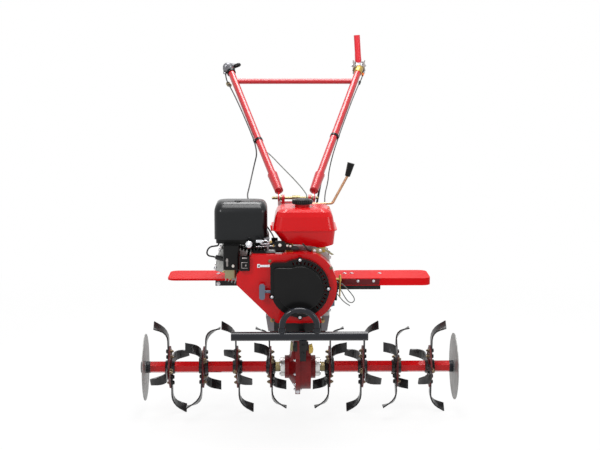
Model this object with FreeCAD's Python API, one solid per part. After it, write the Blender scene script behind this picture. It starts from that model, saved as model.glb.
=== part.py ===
import FreeCAD, Part
import math
import os

V = FreeCAD.Vector
X, Y, Z = V(1, 0, 0), V(0, 1, 0), V(0, 0, 1)

# A walk-behind, gear-driven rotary tiller standing on its tines and its depth stake.
# +Z is up, the engine end points to -Y and the handlebar to +Y. Left and right are the
# operator's, who stands behind and looks to -Y: left is +X, right is -X.
# All is laid out from the rotor axis, at Y = 0, and moved to its own origin when saved.

SIDES = {"left": 1, "right": -1}

# ---- driving dimensions, mm and degrees ----

# rotor
rotor_phase = 5.0             # the rotor stands with its lowest tips under the axis
stations = (123.0, 262.0, 404.0, 544.0)
blade_width = 40.0
blade_thick = 6.0
shank_start = 30.0            # where a shank begins, from the axis
shank_end = 120.0             # where it starts to bend sideways
bend_radius = 55.0
bend_angle = 65.0
tip_length = 30.0
tip_twist = 38.0
flange_reach = 85.0           # axis to the corner of a blade flange
flange_thick = 6.0
hex_shaft_af = 37.0           # across flats
hex_tube_af = 43.0
hex_wall = 2.9
hex_tube_start = 115.0
disc_at = 646.0
disc_radius = 139.0
disc_thick = 3.0
hub_radius = 23.0
hub_length = 40.0
journal_radius = 22.0
running_gap = 0.05            # radial, shaft in bearing

# angles, from +Y towards +Z, at which a station's tine tips turn away from the gearbox;
# the station's other tips turn towards it
tips_out = {
    "left": ((45, 135), (90, 180), (45, 315), (90, 270)),
    "right": ((45, 135), (0, 90), (135, 225), (90, 180)),
}
station_phase = (45, 0, 45, 0)

# gearbox
boss_radius = 48.0
boss_reach = 64.0             # half width over the side bosses
cover_radius = 40.0
cover_thick = 18.0
drive_radius = 93.0           # round lower housing
drum_end = 44.0               # its flat side
cone_start = -47.0            # its tapered side
neck_half_width = 28.0
neck_front, neck_back = -78.0, 112.0
neck_shoulder = 118.0         # height over the rotor axis at which the neck has its full taper
gear_half_width = 75.0        # upper housing
gear_front, gear_back = 2.0, 236.0
gear_bottom, gear_top = 470.0, 722.0
split_x = (-20.0, 0.0)
split_proud = 7.0
split_foot = 116.0            # rotor axis to the drain lug under the split
lid_height = 12.0
case_wall = 12.0
bell_wall = 7.0

# engine
crank_x, crank_z = -6.0, 606.0
engine_base_z = 472.0
case_front, case_back = -265.0, -70.0
case_x = (-122.0, 110.0)
case_top = 727.0
barrel_tilt = 15.0            # cylinder axis above the horizontal, towards -X
barrel_start, barrel_end = 122.0, 232.0
head_end = 286.0
rocker_end = 336.0
fin_count = 9
fin_thick = 3.0
shroud_front = -350.0
shroud_radius = 144.0
shroud_low, shroud_top = 463.0, 736.0
shroud_wall = 2.0
can_wall = 2.5
recoil_radius = 114.0
recoil_front = -383.0
recoil_plateau = -397.0
recoil_wall = 3.0
recoil_slots = 19
tank_x = (-110.0, 134.0)
tank_y = (-300.0, -55.0)
tank_low, tank_seam, tank_top = 745.0, 819.0, 900.0
tank_floor = ((-75.0, 771.0), (80.0, 749.0), (128.0, 760.0))
tank_wall = 1.6
seam_proud = 7.0
cap_radius = 39.0
cap_at = (6.0, -190.0)
cap_z = (911.0, 928.0)
cleaner_x = (-341.0, -133.0)
cleaner_y = (-267.0, -93.0)
cleaner_z = (762.0, 778.0, 926.0)   # bottom, lid joint, top
clutch_bell = (116.0, 88.0)   # radii at the engine and at the gearbox
lead_radius = 3.2

# chassis
mount_x = (-139.0, 113.0)
mount_taper = 9.0
mount_bottom = 411.0
mount_y = (-261.0, -57.0)
mount_lip = 32.0
mount_sheet = 4.0
beam_width = 22.0
beam_x = 4.5
beam_z = (357.0, 411.0)
bumper_x, bumper_y, bumper_z = -8.5, -450.0, 434.0
bumper_radius = 17.5
bumper_half_length = 261.5
hoop_leg_x = 66.5
hoop_radius = 11.5
hoop_top = 546.0
fender_reach = {"left": 535.0, "right": 544.0}
fender_inner = 140.0
fender_y = (-82.0, 108.0)
fender_top = 589.0
fender_lip = {"left": 30.0, "right": 8.0}
fender_sheet = 2.5
support_reach = {"left": 335.0, "right": 352.0}
support_low = {"left": 526.0, "right": 543.0}
support_y = 4.0

# handlebar
handle_x = -13.0              # the handlebar's middle
pivot_y, pivot_z = 156.0, 892.0
pivot_bolt_radius = 6.0
ear_gap = 50.0                # half of the gap between the column's ears
ear_thick = 12.0
ear_radius = 14.0
washer_thick = 7.0
lug_thick = 10.0
lug_radius = 17.0
cross_plate_at = 60.0         # pivot to the plate that ties the lugs
cross_plate_angle = -28.0     # from +Y towards +Z
tube_radius = 16.0
tube_wall = 3.5
tube_base = (74.0, 172.0, 921.0)      # from the handlebar's middle
tube_top = (308.0, 890.0, 1421.0)
tube_end_y = 1045.0
sleeve_radius = tube_radius + 6
sleeve_length = 108.0
crossbar_z = 1366.0
crossbar_radius = 12.5
grip_radius = tube_radius + 2.5
grip_length = 112.0
clutch_lever_top = 1582.0

# hitch and depth stake
hitch_x = 36.0
hitch_plate = 8.0
hitch_y = 350.0
stake_y = 418.0
stake_width = 28.0
stake_length = 470.0
stake_gap = 0.5
sleeve_z = (286.0, 372.0)
sleeve_wall = 5.0
hitch_pin_radius = 8.25
hitch_pin_z = 330.0

touch = 0.3                   # gap between pieces of different bodies that meet

front_reach = bumper_y - bumper_radius
rear_reach = tube_end_y
origin_y = (front_reach + rear_reach) / 2


# ---- helpers ----

def block(x, y, z):
    size = [high - low for low, high in (x, y, z)]
    return Part.makeBox(*size, V(x[0], y[0], z[0]))


def edges_along(shape, direction):
    """Straight edges that run along a direction."""
    found = []
    for edge in shape.Edges:
        if isinstance(edge.Curve, Part.Line):
            if abs(edge.Curve.Direction.dot(direction)) > 0.999:
                found.append(edge)
    return found


def rounded(shape, radius, direction):
    return shape.makeFillet(radius, edges_along(shape, direction))


def rounded_block(x, y, z, radius, direction=Z):
    return rounded(block(x, y, z), radius, direction)


def rod(start, end, radius):
    start, end = V(*start), V(*end)
    return Part.makeCylinder(radius, (end - start).Length, start, end - start)


def pipe(start, end, outer, inner):
    return rod(start, end, outer).cut(rod(start, end, inner))


def prism(points, push):
    wire = Part.makePolygon([V(*p) for p in list(points) + [points[0]]])
    return Part.Face(wire).extrude(V(*push))


def fuse(*shapes):
    return shapes[0].fuse(list(shapes[1:])).removeSplitter()


def mirrored(shape, side):
    return shape if side > 0 else shape.mirror(V(0, 0, 0), X)


def rounded_path(points, share=0.45, radius=None):
    """Straight runs joined by tangent arcs."""
    points = [V(*p) for p in points]
    edges, last, radii = [], points[0], []
    for before, corner, after in zip(points, points[1:], points[2:]):
        back, on = before - corner, after - corner
        turn = math.pi - back.getAngle(on)
        cut = share * min(back.Length, on.Length)
        if radius:
            cut = radius * math.tan(turn / 2)
        radii.append(cut / math.tan(turn / 2))
        back.normalize()
        on.normalize()
        start, end = corner + back * cut, corner + on * cut
        inward = (back + on).normalize()
        middle = corner + inward * (radii[-1] / math.cos(turn / 2) - radii[-1])
        edges.append(Part.LineSegment(last, start).toShape())
        edges.append(Part.Arc(start, middle, end).toShape())
        last = end
    edges.append(Part.LineSegment(last, points[-1]).toShape())
    return Part.Wire(edges), radii


def hose(points, outer, share=0.45, radius=None):
    path, radii = rounded_path(points, share, radius)
    along = V(*points[1]) - V(*points[0])
    ring = Part.Wire(Part.makeCircle(outer, V(*points[0]), along))
    solid = path.makePipeShell([ring], True, False)
    return solid, radii


def hex_bar(start_x, end_x, across_flats):
    """A hexagonal bar along the X axis."""
    corner = across_flats / math.sqrt(3)
    points = []
    for step in range(6):
        angle = math.radians(60 * step + 30)
        points.append((start_x, corner * math.cos(angle), corner * math.sin(angle)))
    return prism(points, (end_x - start_x, 0, 0))


made = {}


def seated(shape, *names):
    """Cuts a piece to the faces of the pieces that it stands on."""
    for name in names:
        shape = shape.cut(made[name])
    return shape


def save(name, *solids):
    shape = solids[0] if len(solids) == 1 else Part.makeCompound(list(solids))
    made[name] = shape
    placed = shape.copy()
    placed.translate(V(0, -origin_y, 0))
    placed.exportStep("parts/%s.step" % name)
    print(name, len(shape.Solids), "valid" if shape.isValid() else "NOT VALID")


# ---- rotor ----

def blade(station, outward, angle):
    """One tine: a flat shank on the flange, swept sideways and twisted at its tip."""
    turn = math.radians(bend_angle)
    lean = outward * (flange_thick + blade_thick) / 2
    bend_steps = 4
    spine = [(0.0, shank_start, 0.0), (0.0, shank_end, 0.0)]
    for step in range(1, bend_steps + 1):
        a = turn * step / bend_steps
        spine.append((bend_radius * (1 - math.cos(a)), shank_end + bend_radius * math.sin(a), a))
    last = spine[-1]
    spine.append((last[0] + tip_length * math.sin(turn),
                  last[1] + tip_length * math.cos(turn), turn))
    sections = []
    for side, reach, lean_angle in spine:
        twist = math.radians(tip_twist) * side / spine[-1][0]
        out = math.radians(angle)
        radial = V(0, math.cos(out), math.sin(out))
        across = V(0, -math.sin(out + twist), math.cos(out + twist))
        flat = V(0, math.cos(out + twist), math.sin(out + twist))
        normal = X * math.cos(lean_angle) * outward - flat * math.sin(lean_angle)
        middle = X * (station + lean + outward * side) + radial * reach
        half_w, half_t = across * (blade_width / 2), normal * (blade_thick / 2)
        corners = [middle + half_w + half_t, middle - half_w + half_t,
                   middle - half_w - half_t, middle + half_w - half_t]
        sections.append(Part.makePolygon(corners + corners[:1]))
    shank = Part.makeLoft(sections[:2], True, True)
    sweep = Part.makeLoft(sections[1:], True, True)
    return fuse(shank, sweep)


def flange(station, phase):
    reach, half = flange_reach, blade_width / 2 + 3
    corners = []
    for step in range(4):
        a = math.radians(phase + 90 * step)
        along, across = V(0, math.cos(a), math.sin(a)), V(0, -math.sin(a), math.cos(a))
        for side in (-1, 1):
            p = along * reach + across * (side * half)
            corners.append((station - flange_thick / 2, p.y, p.z))
    plate = prism(corners, (flange_thick, 0, 0))
    return plate.cut(hex_bar(station - flange_thick, station + flange_thick, hex_tube_af))


# the axis stands as high as the tines that point down reach below it
axis_z = -blade(0, 1, 270 + rotor_phase).BoundBox.ZMin


def on_axis(shape):
    """Turns a piece of the rotor to its phase and lifts it from the X axis to the rotor axis."""
    shape = shape.copy()
    shape.rotate(V(0, 0, 0), X, rotor_phase)
    shape.translate(V(0, 0, axis_z))
    return shape


def rotor():
    reach = boss_reach + cover_thick + 1
    shaft = rod((-reach, 0, 0), (reach, 0, 0), journal_radius)
    stub_end = hex_tube_start + 60
    shaft = fuse(shaft, hex_bar(reach, stub_end, hex_shaft_af),
                 hex_bar(-stub_end, -reach, hex_shaft_af))
    save("rotor_shaft", on_axis(shaft))
    for name, side in SIDES.items():
        tube = hex_bar(hex_tube_start, disc_at - hub_length / 2, hex_tube_af)
        inner = hex_tube_af - 2 * hex_wall
        tube = tube.cut(hex_bar(hex_tube_start - 1, disc_at, inner))
        flanges, blades = [], []
        for station, phase, out in zip(stations, station_phase, tips_out[name]):
            flanges.append(flange(side * station, phase))
            for step in range(4):
                angle = phase + 90 * step
                way = side if angle in out else -side
                blades.append(blade(side * station, way, angle))
        save("rotor_tube_" + name, on_axis(mirrored(tube, side)))
        save("blade_flanges_" + name, *[on_axis(f) for f in flanges])
        save("tines_" + name, *[on_axis(b) for b in blades])
        disc = rod((disc_at, 0, 0), (disc_at + disc_thick, 0, 0), disc_radius)
        hub = rod((disc_at - hub_length / 2, 0, 0), (disc_at + hub_length / 2, 0, 0), hub_radius)
        save("side_disc_" + name, on_axis(mirrored(fuse(disc, hub), side)))


# ---- gearbox ----

def gearbox():
    low_x, high_x = split_x
    half = neck_half_width
    rotor_line = V(0, 0, axis_z)
    drum = rod((high_x - 1, 0, axis_z), (drum_end, 0, axis_z), drive_radius)
    cone = Part.makeCone(boss_radius, drive_radius - 2, low_x + 1 - cone_start,
                         rotor_line + X * cone_start, X)
    boss = rod((-boss_reach, 0, axis_z), (boss_reach, 0, axis_z), boss_radius)
    rim = rod((low_x, 0, axis_z), (high_x, 0, axis_z), drive_radius + split_proud)
    lug = rounded_block(split_x, (-17, 17), (axis_z - split_foot, axis_z - drive_radius), 5, X)
    shoulder_z = axis_z + neck_shoulder
    neck = rounded_block((-half, half), (neck_front, neck_back), (axis_z + 30, gear_bottom + 1), 9)
    flare = prism([(cone_start + 4, neck_front + 8, axis_z + 40), (-half, neck_front + 8, shoulder_z),
                   (half, neck_front + 8, shoulder_z), (drum_end, neck_front + 8, axis_z + 40)],
                  (0, neck_back - neck_front - 30, 0))
    strip = rounded_block(split_x, (neck_front - split_proud, neck_back + split_proud),
                          (axis_z + 40, gear_bottom + 1), 3, X)
    upper = rounded_block((-gear_half_width, gear_half_width), (gear_front, gear_back),
                          (gear_bottom, gear_top), 18)
    bore = rod((-boss_reach - 1, 0, axis_z), (boss_reach + 1, 0, axis_z), journal_radius + 4)
    case = fuse(drum, cone, boss, rim, lug, neck, flare, strip, upper).cut(bore)
    wall = case_wall
    gears = block((-gear_half_width + wall, gear_half_width - wall),
                  (gear_front + wall, gear_back - 4 * wall), (gear_bottom + wall, gear_top - wall))
    chain = block((-half + wall / 2, half - wall / 2), (neck_front + 30, neck_back - 30),
                  (axis_z + drive_radius, gear_bottom - wall))
    ring = pipe((low_x + 2, 0, axis_z), (drum_end - wall / 2, 0, axis_z),
                drive_radius - wall, journal_radius + 2 * wall)
    save("gearbox_case", case.cut(gears).cut(chain).cut(ring))
    lid = rounded_block((-gear_half_width + 8, gear_half_width - 8),
                        (gear_front + 8, gear_back - 8), (gear_top, gear_top + lid_height), 14)
    save("gearbox_lid", lid)
    covers = []
    for side in SIDES.values():
        cover = pipe((boss_reach, 0, axis_z), (boss_reach + cover_thick, 0, axis_z),
                     cover_radius, journal_radius + running_gap)
        covers.append(mirrored(cover, side))
    save("bearing_covers", *covers)
    bell = Part.makeCone(clutch_bell[0], clutch_bell[1], gear_front - case_back,
                         V(crank_x, case_back, crank_z), Y)
    inside = Part.makeCone(clutch_bell[0] - bell_wall, clutch_bell[1] - bell_wall,
                           gear_front - case_back - 2 * bell_wall,
                           V(crank_x, case_back + bell_wall, crank_z), Y)
    save("clutch_housing", seated(bell.cut(inside), "gearbox_case"))


# ---- engine ----

case_middle_y = (case_front + case_back) / 2


def barrel_frame(shape):
    """Turns a shape built upright on the crank axis into the cylinder's direction."""
    shape.translate(V(crank_x, 0, crank_z))
    shape.rotate(V(crank_x, 0, crank_z), Y, -(90 - barrel_tilt))
    return shape


def recoil_solid(inset, front):
    """The starter cover: round, with its upper corner squared out towards the handle."""
    radius = recoil_radius - inset
    disc = rod((crank_x, front, crank_z), (crank_x, shroud_front, crank_z), radius)
    corner = rounded_block((crank_x - radius, crank_x), (front, shroud_front),
                           (crank_z - 45, crank_z + radius - 14), 18, Y)
    return fuse(disc, corner)


def engine():
    base = rounded_block((case_x[0] - 10, case_x[1] + 3), (case_front + 4, case_back - 4),
                         (engine_base_z, engine_base_z + 14), 10)
    body = rounded_block(case_x, (case_front, case_back), (engine_base_z + 10, case_top), 22, Y)
    limit = barrel_frame(Part.makeBox(400, 400, 400, V(-200, -400, barrel_start)))
    crank_room = rod((crank_x, case_front + 20, crank_z), (crank_x, case_back - 20, crank_z), 88)
    save("crankcase", fuse(base, body).cut(limit).cut(crank_room))

    half = 74.0
    y_mid = case_middle_y
    y_half = (case_back - case_front) / 2 - 19
    core = Part.makeCylinder(58, barrel_end - barrel_start, V(0, y_mid, barrel_start), Z)
    fins = [core]
    pitch = (barrel_end - barrel_start - fin_thick) / (fin_count - 1)
    for step in range(fin_count):
        low = barrel_start + step * pitch
        fins.append(rounded_block((-half, half), (y_mid - y_half, y_mid + y_half),
                                  (low, low + fin_thick), 20))
    save("cylinder", barrel_frame(fuse(*fins)))

    core = Part.makeBox(2 * half - 24, 2 * y_half - 24, head_end - barrel_end,
                        V(-half + 12, y_mid - y_half + 12, barrel_end))
    plug_y, plug_x = y_mid - y_half + 20, 8.0
    plug = Part.makeCylinder(10, 14, V(plug_x, plug_y, head_end), Z)
    tip = Part.makeCylinder(5, 40, V(plug_x, plug_y, head_end), Z)
    fins = [core, plug, tip]
    pitch = (head_end - barrel_end - fin_thick) / 4
    for step in range(5):
        low = barrel_end + step * pitch
        fins.append(rounded_block((-half, half), (y_mid - y_half, y_mid + y_half),
                                  (low, low + fin_thick), 14))
    save("cylinder_head", barrel_frame(fuse(*fins)))

    rocker = rounded_block((-half + 22, half - 22), (y_mid - y_half + 36, y_mid + y_half - 14),
                           (head_end, rocker_end), 20)
    rocker = rocker.makeFillet(8, rocker.Faces[-1].Edges)
    save("rocker_cover", barrel_frame(rocker))

    boot = barrel_frame(Part.makeCylinder(9, 46, V(plug_x, plug_y, head_end + 14), Z))
    reach = barrel_frame(Part.Vertex(plug_x, plug_y, head_end + 56)).Point
    loop = [(reach.x, reach.y, reach.z), (-376, reach.y, reach.z + 8), (-366, plug_y + 12, 742),
            (-326, plug_y + 20, 746), (-326, plug_y + 20, cleaner_z[0])]
    lead, radii = hose(loop, lead_radius)
    tell_radii("spark_plug_lead", radii)
    save("spark_plug_lead", seated(fuse(boot, lead), "cylinder_head"))

    can_x, can_y, can_z = (-312, -128), (case_back + 6, case_back + 96), (640, 785)
    can = rounded_block(can_x, can_y, can_z, 30, Y)
    hollow = rounded_block(*[(a + can_wall, b - can_wall) for a, b in (can_x, can_y, can_z)],
                           30 - can_wall, Y)
    neck = rod((-250, y_mid, 685), (-250, can_y[0], 685), 17)
    save("muffler", fuse(can, seated(neck, "cylinder_head", "cylinder")).cut(hollow))

    def shroud_solid(inset):
        y0, y1 = shroud_front + inset, case_front - inset
        outline = [(-40, shroud_top - 4), (-190, shroud_top - 4), (-251, 652), (-251, 614),
                   (-118, 483), (-95, shroud_low), (80, shroud_low)]
        middle = V(-90, 0, 606)
        points = []
        for x, z in outline:
            way = (middle - V(x, 0, z)).normalize()
            p = V(x, 0, z) + way * inset * 1.4
            points.append((p.x, y0, p.z))
        wing = prism(points, (0, y1 - y0, 0))
        drum = rod((crank_x, y0, crank_z), (crank_x, y1, crank_z), shroud_radius - inset)
        top = block((-300, 300), (y0 - 1, y1 + 1), (shroud_top - inset, 900))
        return fuse(drum, wing).cut(top)
    save("blower_housing", shroud_solid(0).cut(shroud_solid(shroud_wall)))

    plateau_radius = recoil_radius - 26
    raised = [rod((crank_x, recoil_plateau, crank_z), (crank_x, recoil_front, crank_z),
                  plateau_radius),
              rounded_block((crank_x - recoil_radius + 14, crank_x), (recoil_plateau, recoil_front),
                            (crank_z - 40, crank_z + plateau_radius - 6), 14, Y)]
    for step, piece in enumerate(raised):
        rim = [e for e in piece.Edges if e.BoundBox.YMax < recoil_plateau + 0.01]
        raised[step] = piece.makeFillet(4, rim)
    cover = fuse(recoil_solid(0, recoil_front), *raised)
    cover = cover.cut(recoil_solid(recoil_wall, recoil_front + 3))
    slot_in, slot_out = plateau_radius + 5, recoil_radius - 7
    for step in range(recoil_slots):
        slot = rounded_block((slot_in, slot_out), (recoil_front - 1, recoil_front + 4), (-3, 3), 2.5, Y)
        slot.rotate(V(0, 0, 0), Y, 48 - step * 8.5)
        slot.translate(V(crank_x, 0, crank_z))
        cover = cover.cut(slot)
    save("recoil_cover", cover)
    handle = rounded_block((-163, -141), (recoil_front - 6, recoil_front + 18), (563, 622), 9, Y)
    stem_y = recoil_front + 10
    stem = rod((-150, stem_y, 592), (crank_x - recoil_radius + 6, stem_y, 592), 6)
    stem = stem.cut(recoil_solid(0, recoil_front))
    save("recoil_handle", fuse(handle, stem))


def tell_radii(name, radii):
    print(name, "bend radii", [round(r, 1) for r in radii])


def induction():
    base_x = (cleaner_x[0] + 6, cleaner_x[1] - 6)
    base_y = (cleaner_y[0] + 6, cleaner_y[1] - 6)
    save("air_cleaner_base", rounded_block(base_x, base_y, cleaner_z[:2], 24))
    cover = rounded_block(cleaner_x, cleaner_y, cleaner_z[1:], 32)
    cover = cover.makeFillet(27, [e for e in cover.Edges if abs(e.BoundBox.ZMin - cleaner_z[2]) < 1])
    inside = rounded_block(*[(low + 9, high - 9) for low, high in
                             (cleaner_x, cleaner_y, cleaner_z[1:])], 23)
    save("air_cleaner_cover", cover.cut(inside))
    cover_x, cover_z = (-304, -240), (668, cleaner_z[0])
    cover = rounded_block(cover_x, (-322, -250), cover_z, 10)
    box = rounded_block((-238, -199), (shroud_front - 28, shroud_front), (674, 728), 5)
    save("carburetor_cover", cover, box)
    bowl = rounded_block((-298, -255), (-318, -240), (634, cover_z[0]), 8)
    intake = block((-292, -260), (-250, -240), (650, 700))
    save("carburetor", seated(fuse(bowl, intake), "cylinder_head", "rocker_cover"))
    plate = block((-190, -100), (shroud_front + 30, case_front), (shroud_top - 4, shroud_top))
    stop = block((-118, -92), (case_back - 14, case_back - 10), (case_top, case_top + 31))
    save("control_plate", plate, stop)


def fuel_tank():
    low, seam, top = tank_low, tank_seam, tank_top
    # height, then how far the left, the right and the end faces stand in, then the corner
    levels = [(low, 54, 8, 20, 26), (seam, 0, 0, 0, 34), (top - 30, 9, 9, 9, 34),
              (top - 12, 17, 17, 17, 34), (top - 3, 30, 30, 30, 34), (top, 46, 46, 46, 30)]

    def ring(z, left, right, end, corner):
        """The tank's outline at a height, with round corners."""
        x = (tank_x[0] + left, tank_x[1] - right)
        y = (tank_y[0] + end, tank_y[1] - end)
        flat = rounded_block(x, y, (z, z + 1), corner)
        return [f for f in flat.Faces if abs(f.CenterOfMass.z - z) < 1e-6][0].OuterWire

    floor = [(-250, 0, 600), (-250, 0, tank_floor[0][1] + 10)]
    floor += [(x, 0, z) for x, z in tank_floor] + [(300, 0, 765), (300, 0, 600)]
    under = prism([(x, tank_y[0] - 50, z) for x, _, z in floor], (0, 400, 0))
    under_room = under.copy()
    under_room.translate(V(0, 0, tank_wall))
    outer = [Part.makeLoft([ring(*a), ring(*b)], True, True) for a, b in zip(levels, levels[1:])]
    rooms = [(z,) + tuple(inset + tank_wall for inset in insets) + (corner,)
             for z, *insets, corner in levels[:4]]
    inner = [Part.makeLoft([ring(*a), ring(*b)], True, True) for a, b in zip(rooms, rooms[1:])]
    rim = rounded_block((tank_x[0] - seam_proud, tank_x[1] + seam_proud),
                        (tank_y[0] - seam_proud, tank_y[1] + seam_proud),
                        (seam - 2, seam + 2), 40)
    neck = rod(cap_at + (top - 2,), cap_at + (cap_z[0],), cap_radius - 9)
    shell = fuse(*outer, rim, neck).cut(under).cut(fuse(*inner).cut(under_room))
    save("fuel_tank", shell)
    save("fuel_cap", rod(cap_at + (cap_z[0],), cap_at + (cap_z[1],), cap_radius))
    feet = [rounded_block((x, x + 28), (y, y + 30), (case_top, seam), 4).common(under)
            for x in (-60, 68) for y in (case_front + 12, case_back - 48)]
    save("tank_feet", *feet)


# ---- chassis ----

def chassis():
    low, top = mount_bottom, engine_base_z
    sheet = mount_sheet
    pieces = [block(mount_x, mount_y, (top - sheet, top))]
    for outer, way in ((mount_x[0], 1), (mount_x[1], -1)):
        foot = outer + way * mount_taper
        wall = [(outer, top - sheet), (outer + way * sheet, top - sheet), (foot + way * sheet, low),
                (foot, low)]
        lip = [(outer, top - sheet), (outer + way * mount_lip, top - sheet),
               (outer + way * mount_lip, low), (foot, low)]
        pieces.append(prism([(x, mount_y[0], z) for x, z in wall], (0, mount_y[1] - mount_y[0], 0)))
        pieces.append(prism([(x, mount_y[0], z) for x, z in lip], (0, sheet, 0)))
    for x in (beam_x - beam_width / 2, beam_x + beam_width / 2 - sheet):
        pieces.append(block((x, x + sheet), (mount_y[0] + 20, mount_y[1] - 60), (low, top - sheet)))
    save("engine_mount", seated(fuse(*pieces), "clutch_housing", "gearbox_case"))

    ends = [(bumper_x + side * bumper_half_length, bumper_y, bumper_z) for side in (-1, 1)]
    bumper = rod(*ends, bumper_radius)
    core = rod((ends[0][0] + 3, bumper_y, bumper_z), (ends[1][0] - 3, bumper_y, bumper_z),
               bumper_radius - 3)
    save("front_bumper", bumper.cut(core))
    half = beam_width / 2
    beam = block((beam_x - half, beam_x + half), (bumper_y + 8, neck_front - 20), beam_z)
    hollow = block((beam_x - half + 4, beam_x + half - 4), (bumper_y + 12, neck_front - 20),
                   (beam_z[0] + 4, beam_z[1] - 4))
    plate = prism([(beam_x - 15.5, bumper_y - 4, bumper_z), (beam_x + 15.5, bumper_y - 4, bumper_z),
                   (beam_x + 11.5, bumper_y - 4, 336), (beam_x - 11.5, bumper_y - 4, 336)], (0, 12, 0))
    foot = block((-neck_half_width, neck_half_width), (neck_front - 28, neck_front),
                 (beam_z[0] - 12, beam_z[1]))
    saddle_y = mount_y[0] + mount_sheet
    saddle = block((mount_x[0] + 15, mount_x[1] - 15), (saddle_y, saddle_y + 6),
                   (beam_z[1] - 8, mount_bottom + 42))
    bracket = fuse(beam.cut(hollow), plate, foot, saddle).cut(bumper)
    save("bumper_bracket", seated(bracket, "gearbox_case", "engine_mount"))
    centre_top = hoop_top - hoop_radius
    legs = [bumper_x + side * hoop_leg_x for side in (-1, 1)]
    arch, _ = hose([(legs[0], bumper_y, bumper_z), (legs[0], bumper_y, centre_top),
                    (legs[1], bumper_y, centre_top), (legs[1], bumper_y, bumper_z)],
                   hoop_radius, radius=hoop_leg_x - 4)
    feet = [rod((x, bumper_y, bumper_z), (x, bumper_y, bumper_z + 32), 14) for x in legs]
    save("bumper_hoop", fuse(arch, *feet).cut(bumper))

    for name, side in SIDES.items():
        reach, lip = fender_reach[name], fender_lip[name]
        x, z = (fender_inner, reach), (fender_top - lip, fender_top)
        outer = rounded_block(x, fender_y, z, 34)
        inset = fender_sheet
        inner = rounded_block((x[0] + inset, x[1] - inset),
                              (fender_y[0] + inset, fender_y[1] - inset),
                              (z[0] - 1, z[1] - inset), 34 - inset)
        save("fender_" + name, mirrored(outer.cut(inner), side))
        under = fender_top - inset
        low, far = support_low[name], support_reach[name]
        web = block((gear_half_width, far), (support_y, support_y + 6), (low, under))
        shelf = block((fender_inner + 8, far), (support_y, support_y + 70), (under - 5, under))
        foot = block((gear_half_width, gear_half_width + 6), (support_y, support_y + 90), (low, 596))
        support = mirrored(fuse(web, shelf, foot), side)
        save("fender_support_" + name, seated(support, "fender_" + name, "gearbox_case"))

    column = rounded_block((handle_x - 32, handle_x + 32), (pivot_y - 34, pivot_y + 26),
                           (gear_top + lid_height, pivot_z - 88), 10)
    wide = ear_gap + ear_thick
    saddle = block((handle_x - wide, handle_x + wide), (pivot_y - 16, pivot_y + 16),
                   (pivot_z - 92, pivot_z - 66))
    ears = []
    for side in (-1, 1):
        x = sorted((handle_x + side * ear_gap, handle_x + side * wide))
        ears.append(rod((x[0], pivot_y, pivot_z), (x[1], pivot_y, pivot_z), ear_radius))
        ears.append(block(x, (pivot_y - ear_radius, pivot_y + ear_radius), (pivot_z - 67, pivot_z)))
    reach = wide + washer_thick + lug_thick
    bolt_hole = rod((handle_x - wide - 1, pivot_y, pivot_z), (handle_x + wide + 1, pivot_y, pivot_z),
                    pivot_bolt_radius)
    save("handle_column", fuse(column, saddle, *ears).cut(bolt_hole))
    bolt = [rod((handle_x - reach - 25, pivot_y, pivot_z), (handle_x + reach + 14, pivot_y, pivot_z),
                pivot_bolt_radius),
            rod((handle_x - 18, pivot_y, pivot_z), (handle_x + 15, pivot_y, pivot_z), 11)]
    for side in (-1, 1):
        x = sorted((handle_x + side * wide, handle_x + side * (wide + washer_thick - touch)))
        bolt.append(rod((x[0], pivot_y, pivot_z), (x[1], pivot_y, pivot_z), 12))
    save("clamp_bolt", fuse(*bolt))


def gear_lever():
    base = gear_top + lid_height
    lever, _ = hose([(40, 60, base), (40, 60, 877), (136, 60, 881), (198, 60, 995)], 5.5, radius=12)
    save("gear_lever", lever)
    low, high = V(198, 60, 995), V(213, 60, 1049)
    knob = Part.makeCone(11, 15.5, (high - low).Length, low, high - low)
    save("gear_knob", seated(knob, "gear_lever"))


def hitch():
    plates = []
    for side in (-1, 1):
        x = sorted((side * (hitch_x - hitch_plate), side * hitch_x))
        plate = prism([(x[0], neck_back - 40, axis_z + 110), (x[0], hitch_y + 20, sleeve_z[0] + 6),
                       (x[0], hitch_y + 20, sleeve_z[1] - 6), (x[0], neck_back - 10, axis_z + 230)],
                      (x[1] - x[0], 0, 0))
        plates.append(plate)
    y0 = stake_y - stake_width / 2 - stake_gap - sleeve_wall
    y1 = stake_y + stake_width / 2 + stake_gap + sleeve_wall
    half = stake_width / 2 + stake_gap
    sleeve = block((-half - sleeve_wall, half + sleeve_wall), (y0, y1), sleeve_z)
    bridge = block((-hitch_x, hitch_x), (hitch_y + 12, y0), (sleeve_z[0] + 6, sleeve_z[1] - 6))
    hole = block((-half, half), (stake_y - half, stake_y + half), (sleeve_z[0] - 1, sleeve_z[1] + 1))
    pin = rod((-hitch_x - 1, hitch_y - 30, hitch_pin_z), (hitch_x + 1, hitch_y - 30, hitch_pin_z),
              hitch_pin_radius)
    hitch_body = fuse(*plates, sleeve, bridge).cut(hole).cut(pin)
    screw_z = (sleeve_z[0] + sleeve_z[1]) / 2
    tapped = rod((0, stake_y, screw_z), (0, y1 + 1, screw_z), 5)
    save("rear_hitch", seated(hitch_body.cut(tapped), "gearbox_case"))
    half = stake_width / 2
    stake = block((-half, half), (stake_y - half, stake_y + half), (12, stake_length))
    point = prism([(-half, stake_y - half, 12), (-half, stake_y + half, 12),
                   (-half, stake_y + half, 0), (-half, stake_y - 2, 0)], (2 * half, 0, 0))
    save("depth_stake", fuse(stake, point))
    screw = fuse(rod((0, stake_y + half + touch, screw_z), (0, y1 + 36, screw_z), 5),
                 rod((-28, y1 + 26, screw_z), (28, y1 + 26, screw_z), 4))
    save("stake_screw", screw)


# ---- handlebar ----

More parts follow.
